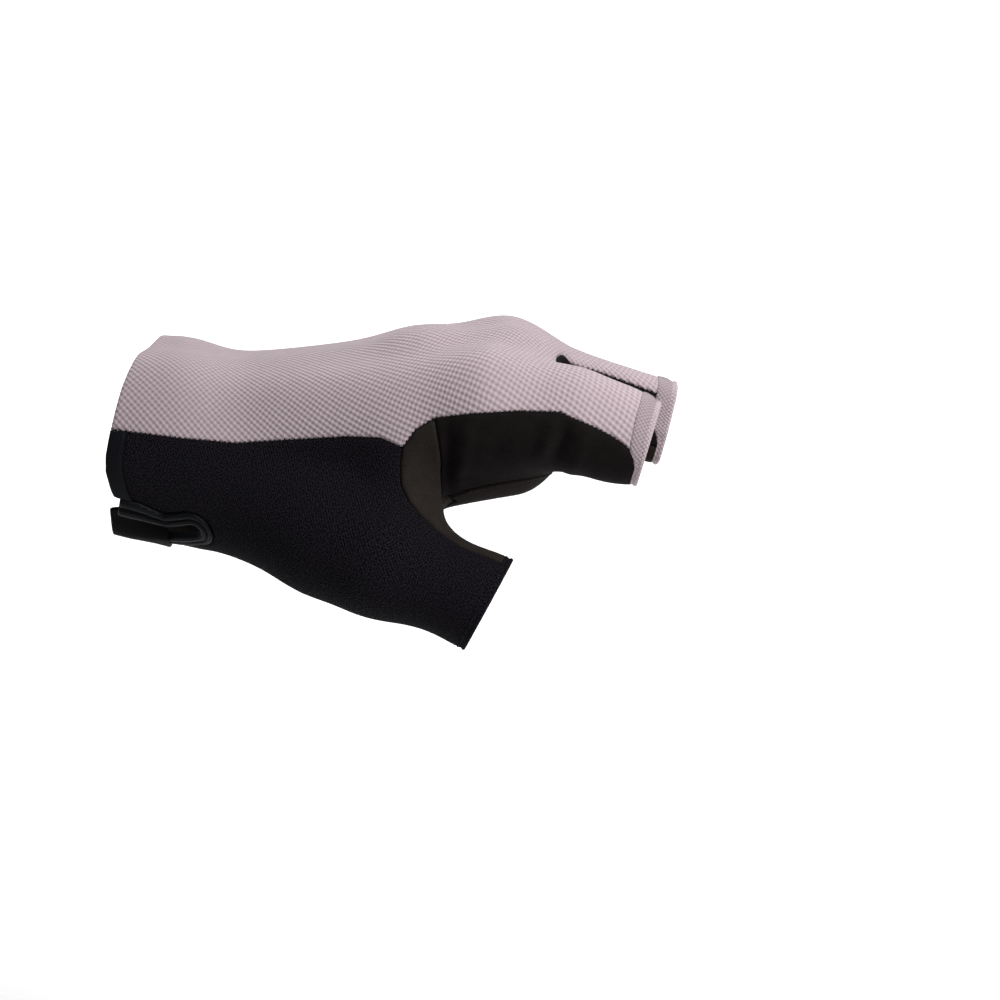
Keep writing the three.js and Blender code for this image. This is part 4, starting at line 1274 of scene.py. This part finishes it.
def looped_knit(colour, pitch):
    """Brushed nylon loops: nearly black, uneven, with painted highlights on the loops' crowns and painted
    shade in the gaps.
    """
    material, tree, shader = start_material("looped_knit", 0.9, specular=0.04)
    places, u, v = cloth_axes(tree, 6)
    u, v = wandering(tree, places, u, v, 1.8, 1.2)
    loops = pits(tree, u, v, pitch, pitch * 1.3)
    fuzz = noise(tree, places, 0.45, 2)
    height = plus(tree, times(tree, loops, 0.45), times(tree, fuzz, 2.4))
    # Painted highlights on the loop crowns and painted shade in the gaps between them, from the loops' height
    finish_surface(
        tree, shader, ramp(tree, height, 1.1, 2.0, shade(colour, 0.15), shade(colour, 3.2)), height, 0.4
    )
    return material


def suede(colour, name):
    """Microfibre suede: a short nap, matte, a little lighter where it is rubbed."""
    material, tree, shader = start_material(
        name, 0.85, sheen=0.015, sheen_tint=(0.9, 0.86, 0.84, 1), specular=0.03
    )
    places, _, _ = cloth_axes(tree)
    nap = noise(tree, places, 0.4, 5)
    rubbed = noise(tree, places, 5, 3)
    height = plus(tree, nap, times(tree, rubbed, 0.6))
    finish_surface(
        tree, shader, ramp(tree, height, 0.55, 1.05, shade(colour, 0.65), shade(colour, 1.35)), height, 0.16
    )
    return material


def elastic_tape(colour):
    """Woven elastic: smooth, faintly ribbed along its length, with a dull shine."""
    material, tree, shader = start_material("elastic_tape", 0.45, specular=0.08)
    places, u, v = cloth_axes(tree)
    ribs = times(tree, wave(tree, v, 0.7), 0.5)
    picks = times(tree, wave(tree, u, 0.5), 0.25)
    height = plus(tree, plus(tree, ribs, picks), noise(tree, places, 0.4, 3))
    finish_surface(
        tree, shader, ramp(tree, height, -0.2, 1.2, shade(colour, 0.6), shade(colour, 1.5)), height, 0.05
    )
    return material


def strap_tab(colour):
    """Coated microfibre tab: flat and matte, with a fine grain."""
    material, tree, shader = start_material("strap_tab", 0.7, specular=0.04)
    places, u, _ = cloth_axes(tree, 45)
    grain = plus(tree, times(tree, wave(tree, u, 0.55), 0.4), noise(tree, places, 0.3, 4))
    finish_surface(
        tree, shader, ramp(tree, grain, 0.0, 1.1, shade(colour, 0.7), shade(colour, 1.4)), grain, 0.05
    )
    return material


def sewing_thread(colour):
    """Twisted polyester thread with a slight shine."""
    material, tree, shader = start_material("black_thread", 0.5, specular=0.2)
    _, u, v = cloth_axes(tree)
    twist = wave(tree, plus(tree, u, v), 0.35)
    finish_surface(
        tree, shader, ramp(tree, twist, -1, 1, shade(colour, 0.75), shade(colour, 1.25)), twist, 0.04
    )
    return material


def pale_floor():
    material, tree, shader = start_material("pale_floor", 0.9)
    places = add_node(tree, "ShaderNodeTexCoord", output=3)
    grain = add_node(tree, "ShaderNodeTexNoise", {"Vector": places, "Scale": 3.0}, output=0)
    colour = ramp(tree, grain, 0.3, 0.7, (0.93, 0.93, 0.93, 1), (0.95, 0.95, 0.95, 1))
    tree.links.new(colour, shader.inputs["Base Color"])
    return material


# What a user can change

def colour_property(name, description, hex_colour):
    return bpy.props.FloatVectorProperty(
        name=name, description=description, subtype="COLOR", size=3, min=0, max=1, default=linear(hex_colour)
    )


def size_property(name, description, default):
    return bpy.props.FloatProperty(
        name=name, description=description, default=default * MM, min=0.0001, unit="LENGTH"
    )


class GloveColours(bpy.types.PropertyGroup):
    knit: colour_property("Knit", "Colour of the knitted back", "#a39499")
    loops: colour_property("Looped knit", "Colour of the thumb panel", "#110f13")
    suede: colour_property("Suede", "Colour of the side of the index finger", "#131010")
    palm: colour_property("Palm", "Colour of the palm", "#1b1715")
    patch: colour_property("Patch", "Colour of the patch in the crotch of the thumb", "#221e1c")
    elastic: colour_property("Elastic", "Colour of the bindings", "#0b0c10")
    strap: colour_property("Strap", "Colour of the strap", "#080707")
    thread: colour_property("Thread", "Colour of the stitches", "#0f0e0f")


class GloveSizes(bpy.types.PropertyGroup):
    step: size_property("Mesh step", "Spacing of the mesh on the cloth", 0.9)
    knit_pitch: size_property("Knit pitch", "Distance between the beads of the knit", 1.65)
    loop_pitch: size_property("Loop pitch", "Distance between the rows of loops", 0.85)


def in_mm(length):
    return round(length / MM, 4)


# Operators, one for each piece or group of like pieces

class GLOVE_OT_back(bpy.types.Operator):
    """Adds the knitted back of the hand and fingers"""
    bl_idname = "glove.back"
    bl_label = "Back panel"

    def execute(self, context):
        sizes, colours = context.scene.glove_sizes, context.scene.glove_colours
        piece = cloth_panel("back_panel", in_mm(sizes.step), dip=0.8)
        finish_piece(piece, pique_knit(colours.knit, in_mm(sizes.knit_pitch)), ["back_panel"])
        return {"FINISHED"}


class GLOVE_OT_thumb(bpy.types.Operator):
    """Adds the looped panel over the ball of the thumb"""
    bl_idname = "glove.thumb"
    bl_label = "Thumb panel"

    def execute(self, context):
        sizes, colours = context.scene.glove_sizes, context.scene.glove_colours
        piece = cloth_panel("thumb_panel", in_mm(sizes.step))
        finish_piece(piece, looped_knit(colours.loops, in_mm(sizes.loop_pitch)), ["thumb_panel"])
        return {"FINISHED"}


class GLOVE_OT_suede(bpy.types.Operator):
    """Adds the palm, the side of the index finger, the crotch patch and the strips between fingers"""
    bl_idname = "glove.suede"
    bl_label = "Suede panels"

    def execute(self, context):
        sizes, colours = context.scene.glove_sizes, context.scene.glove_colours
        step = in_mm(sizes.step)
        dark = suede(colours.suede, "microfibre_suede")
        warm = suede(colours.patch, "microfibre_suede_warm")
        palm = suede(colours.palm, "microfibre_suede_palm")
        finish_piece(cloth_panel("palm_panel", step), palm, ["palm_panel"])
        finish_piece(cloth_panel("index_side_panel", step), dark, ["index_side_panel"])
        finish_piece(cloth_panel("thumb_crotch_patch", step), warm, ["thumb_crotch_patch"])
        for slot in SLOTS:
            finish_piece(cloth_panel(f"{slot}_gusset", step), dark, [f"{slot}_gusset"])
        return {"FINISHED"}


class GLOVE_OT_hems(bpy.types.Operator):
    """Adds the turned hems of the finger and thumb openings"""
    bl_idname = "glove.hems"
    bl_label = "Hems"

    def execute(self, context):
        knit = knit_hem(context.scene.glove_colours.knit)
        for finger in FINGERS:
            piece = edge_band(f"{finger}_turned_hem", finger, None, HEM_RAISE, groove=HEM_GROOVE_DEPTH)
            finish_piece(piece, knit, [f"{finger}_hem"])
        loops = bpy.data.materials["looped_knit"]
        groove = THUMB_HEM_GROOVE_DEPTH
        piece = edge_band("thumb_turned_hem", "thumb", None, THUMB_HEM_RAISE, groove=groove)
        finish_piece(piece, loops, ["thumb_hem"])
        return {"FINISHED"}


class GLOVE_OT_cuff(bpy.types.Operator):
    """Adds the elastic bindings of the cuff and of its slit"""
    bl_idname = "glove.cuff"
    bl_label = "Cuff bindings"

    def execute(self, context):
        elastic = elastic_tape(context.scene.glove_colours.elastic)
        for name, is_clear in (("cuff_binding_thumb", thumb_cuff), ("cuff_binding_palm", palm_cuff)):
            piece = edge_band(
                name.replace("binding", "tape"), "cuff", CUFF_BINDING_WIDTH, BINDING_RAISE,
                turns=lambda depth, side=is_clear: clear_turns(depth, side),
            )
            finish_piece(piece, elastic, [name])
        piece = tape("slit_tape", slit_binding_place, 240, 24)
        finish_piece(piece, elastic, ["slit_binding"])
        return {"FINISHED"}


class GLOVE_OT_strap(bpy.types.Operator):
    """Adds the strap that comes through the slit"""
    bl_idname = "glove.strap"
    bl_label = "Strap"

    def execute(self, context):
        piece = tape("pull_strap", strap_place, 90, 20)
        finish_piece(piece, strap_tab(context.scene.glove_colours.strap), ["wrist_strap"])
        return {"FINISHED"}


class GLOVE_OT_stitches(bpy.types.Operator):
    """Adds the stitches along the seams"""
    bl_idname = "glove.stitches"
    bl_label = "Stitches"

    def execute(self, context):
        sizes, colours = context.scene.glove_sizes, context.scene.glove_colours
        step = in_mm(sizes.step)
        zones = glove_surface(step)[3]
        thread = sewing_thread(colours.thread)

        def on_cloth(spots):
            hems = [-hem_area(end, spots) for end in HEMMED]
            return np.min([*inside_ends(spots), *hems], axis=0) > STITCH_CLEARANCE

        lines = form_lines(zones["back_panel"] - 0.1, on_cloth, step)
        lines = [line for line in lines if len(line) > 20]
        piece = stitches("back_seam_stitches", lines, *BACK_STITCHES, turn=76, level=-0.4)
        finish_piece(piece, thread)

        def on_index(spots):
            low, high = INDEX_STITCHES_X
            on_side = (spots[:, 0] > low) & (spots[:, 0] < high) & (spots[:, 1] < INDEX_STITCHES_SIDE)
            return on_cloth(spots) & on_side & (drawn(spots)[1] < INDEX_STITCHES_TOP)

        lines = form_lines(zones["index_side_panel"] + 1.0, on_index, step)
        piece = stitches("index_palm_stitches", lines[:1], *INDEX_STITCHES, level=-0.05)
        finish_piece(piece, thread)

        def on_slot(spots):
            along, up = drawn(spots)
            low, high = SLOT_STITCHES_ALONG
            near_top = np.abs(up - look_up(GUSSET_TOP, along)) < SLOT_STITCHES_NEAR
            return (along > low) & (along < high) & near_top

        lines = form_lines(zones["index_middle_gusset"] + 0.05, on_slot, step)
        lines = [line for line in lines if len(line) > 8]
        piece = stitches("slot_stitches", lines, *SLOT_STITCHES, turn=80)
        finish_piece(piece, thread)
        return {"FINISHED"}


class GLOVE_OT_stage(bpy.types.Operator):
    """Adds the pale floor, the soft studio light and the camera"""
    bl_idname = "glove.stage"
    bl_label = "Stage"

    def execute(self, context):
        bpy.ops.object.select_all(action="DESELECT")
        bpy.ops.mesh.primitive_plane_add(size=FLOOR_SIZE, location=FLOOR_PLACE)
        floor = context.object
        floor.name = "pale_floor"
        floor.data.materials.append(pale_floor())
        world = context.scene.world or bpy.data.worlds.new("studio")
        context.scene.world = world
        world.use_nodes = True
        background = world.node_tree.nodes["Background"]
        background.inputs["Color"].default_value = (1, 1, 1, 1)
        background.inputs["Strength"].default_value = WORLD_STRENGTH
        target = Vector(CAMERA_TARGET)
        for name, place, aim, size, power in STUDIO_LIGHTS:
            bpy.ops.object.light_add(type="AREA", location=place)
            light = context.object
            light.name = name
            light.data.shape = "DISK"
            light.data.size = size
            light.data.energy = power
            light.rotation_euler = (Vector(aim) - Vector(place)).to_track_quat("-Z", "Y").to_euler()
        away = Vector((0, -math.cos(SHEET_TILT), math.sin(SHEET_TILT)))
        bpy.ops.object.camera_add(location=target + away * SHEET_DISTANCE * MM)
        camera = context.object
        camera.name = "photo_camera"
        camera.rotation_euler = (-away).to_track_quat("-Z", "Y").to_euler()
        camera.data.lens = CAMERA_LENS
        camera.data.sensor_width = SENSOR
        camera.data.clip_start, camera.data.clip_end = CAMERA_CLIP
        context.scene.camera = camera
        context.scene.view_settings.view_transform = "Standard"
        return {"FINISHED"}


PIECES = (
    GLOVE_OT_back, GLOVE_OT_thumb, GLOVE_OT_suede, GLOVE_OT_hems, GLOVE_OT_cuff, GLOVE_OT_strap,
    GLOVE_OT_stitches, GLOVE_OT_stage,
)


class GLOVE_PT_panel(bpy.types.Panel):
    """Lists the glove's pieces, sizes and colours"""
    bl_idname = "GLOVE_PT_panel"
    bl_label = "Cycling Glove"
    bl_space_type = "VIEW_3D"
    bl_region_type = "UI"
    bl_category = "Glove"

    def draw(self, context):
        for group in (context.scene.glove_sizes, context.scene.glove_colours):
            for name in group.__annotations__:
                self.layout.prop(group, name)
        for operator in PIECES:
            self.layout.operator(operator.bl_idname)


CLASSES = (GloveColours, GloveSizes, *PIECES, GLOVE_PT_panel)


def register():
    for one in CLASSES:
        bpy.utils.register_class(one)
    bpy.types.Scene.glove_colours = bpy.props.PointerProperty(type=GloveColours)
    bpy.types.Scene.glove_sizes = bpy.props.PointerProperty(type=GloveSizes)


def unregister():
    del bpy.types.Scene.glove_sizes
    del bpy.types.Scene.glove_colours
    for one in reversed(CLASSES):
        bpy.utils.unregister_class(one)


def main():
    register()
    for operator in PIECES:
        group, name = operator.bl_idname.split(".")
        getattr(getattr(bpy.ops, group), name)()


if __name__ == "__main__":
    main()
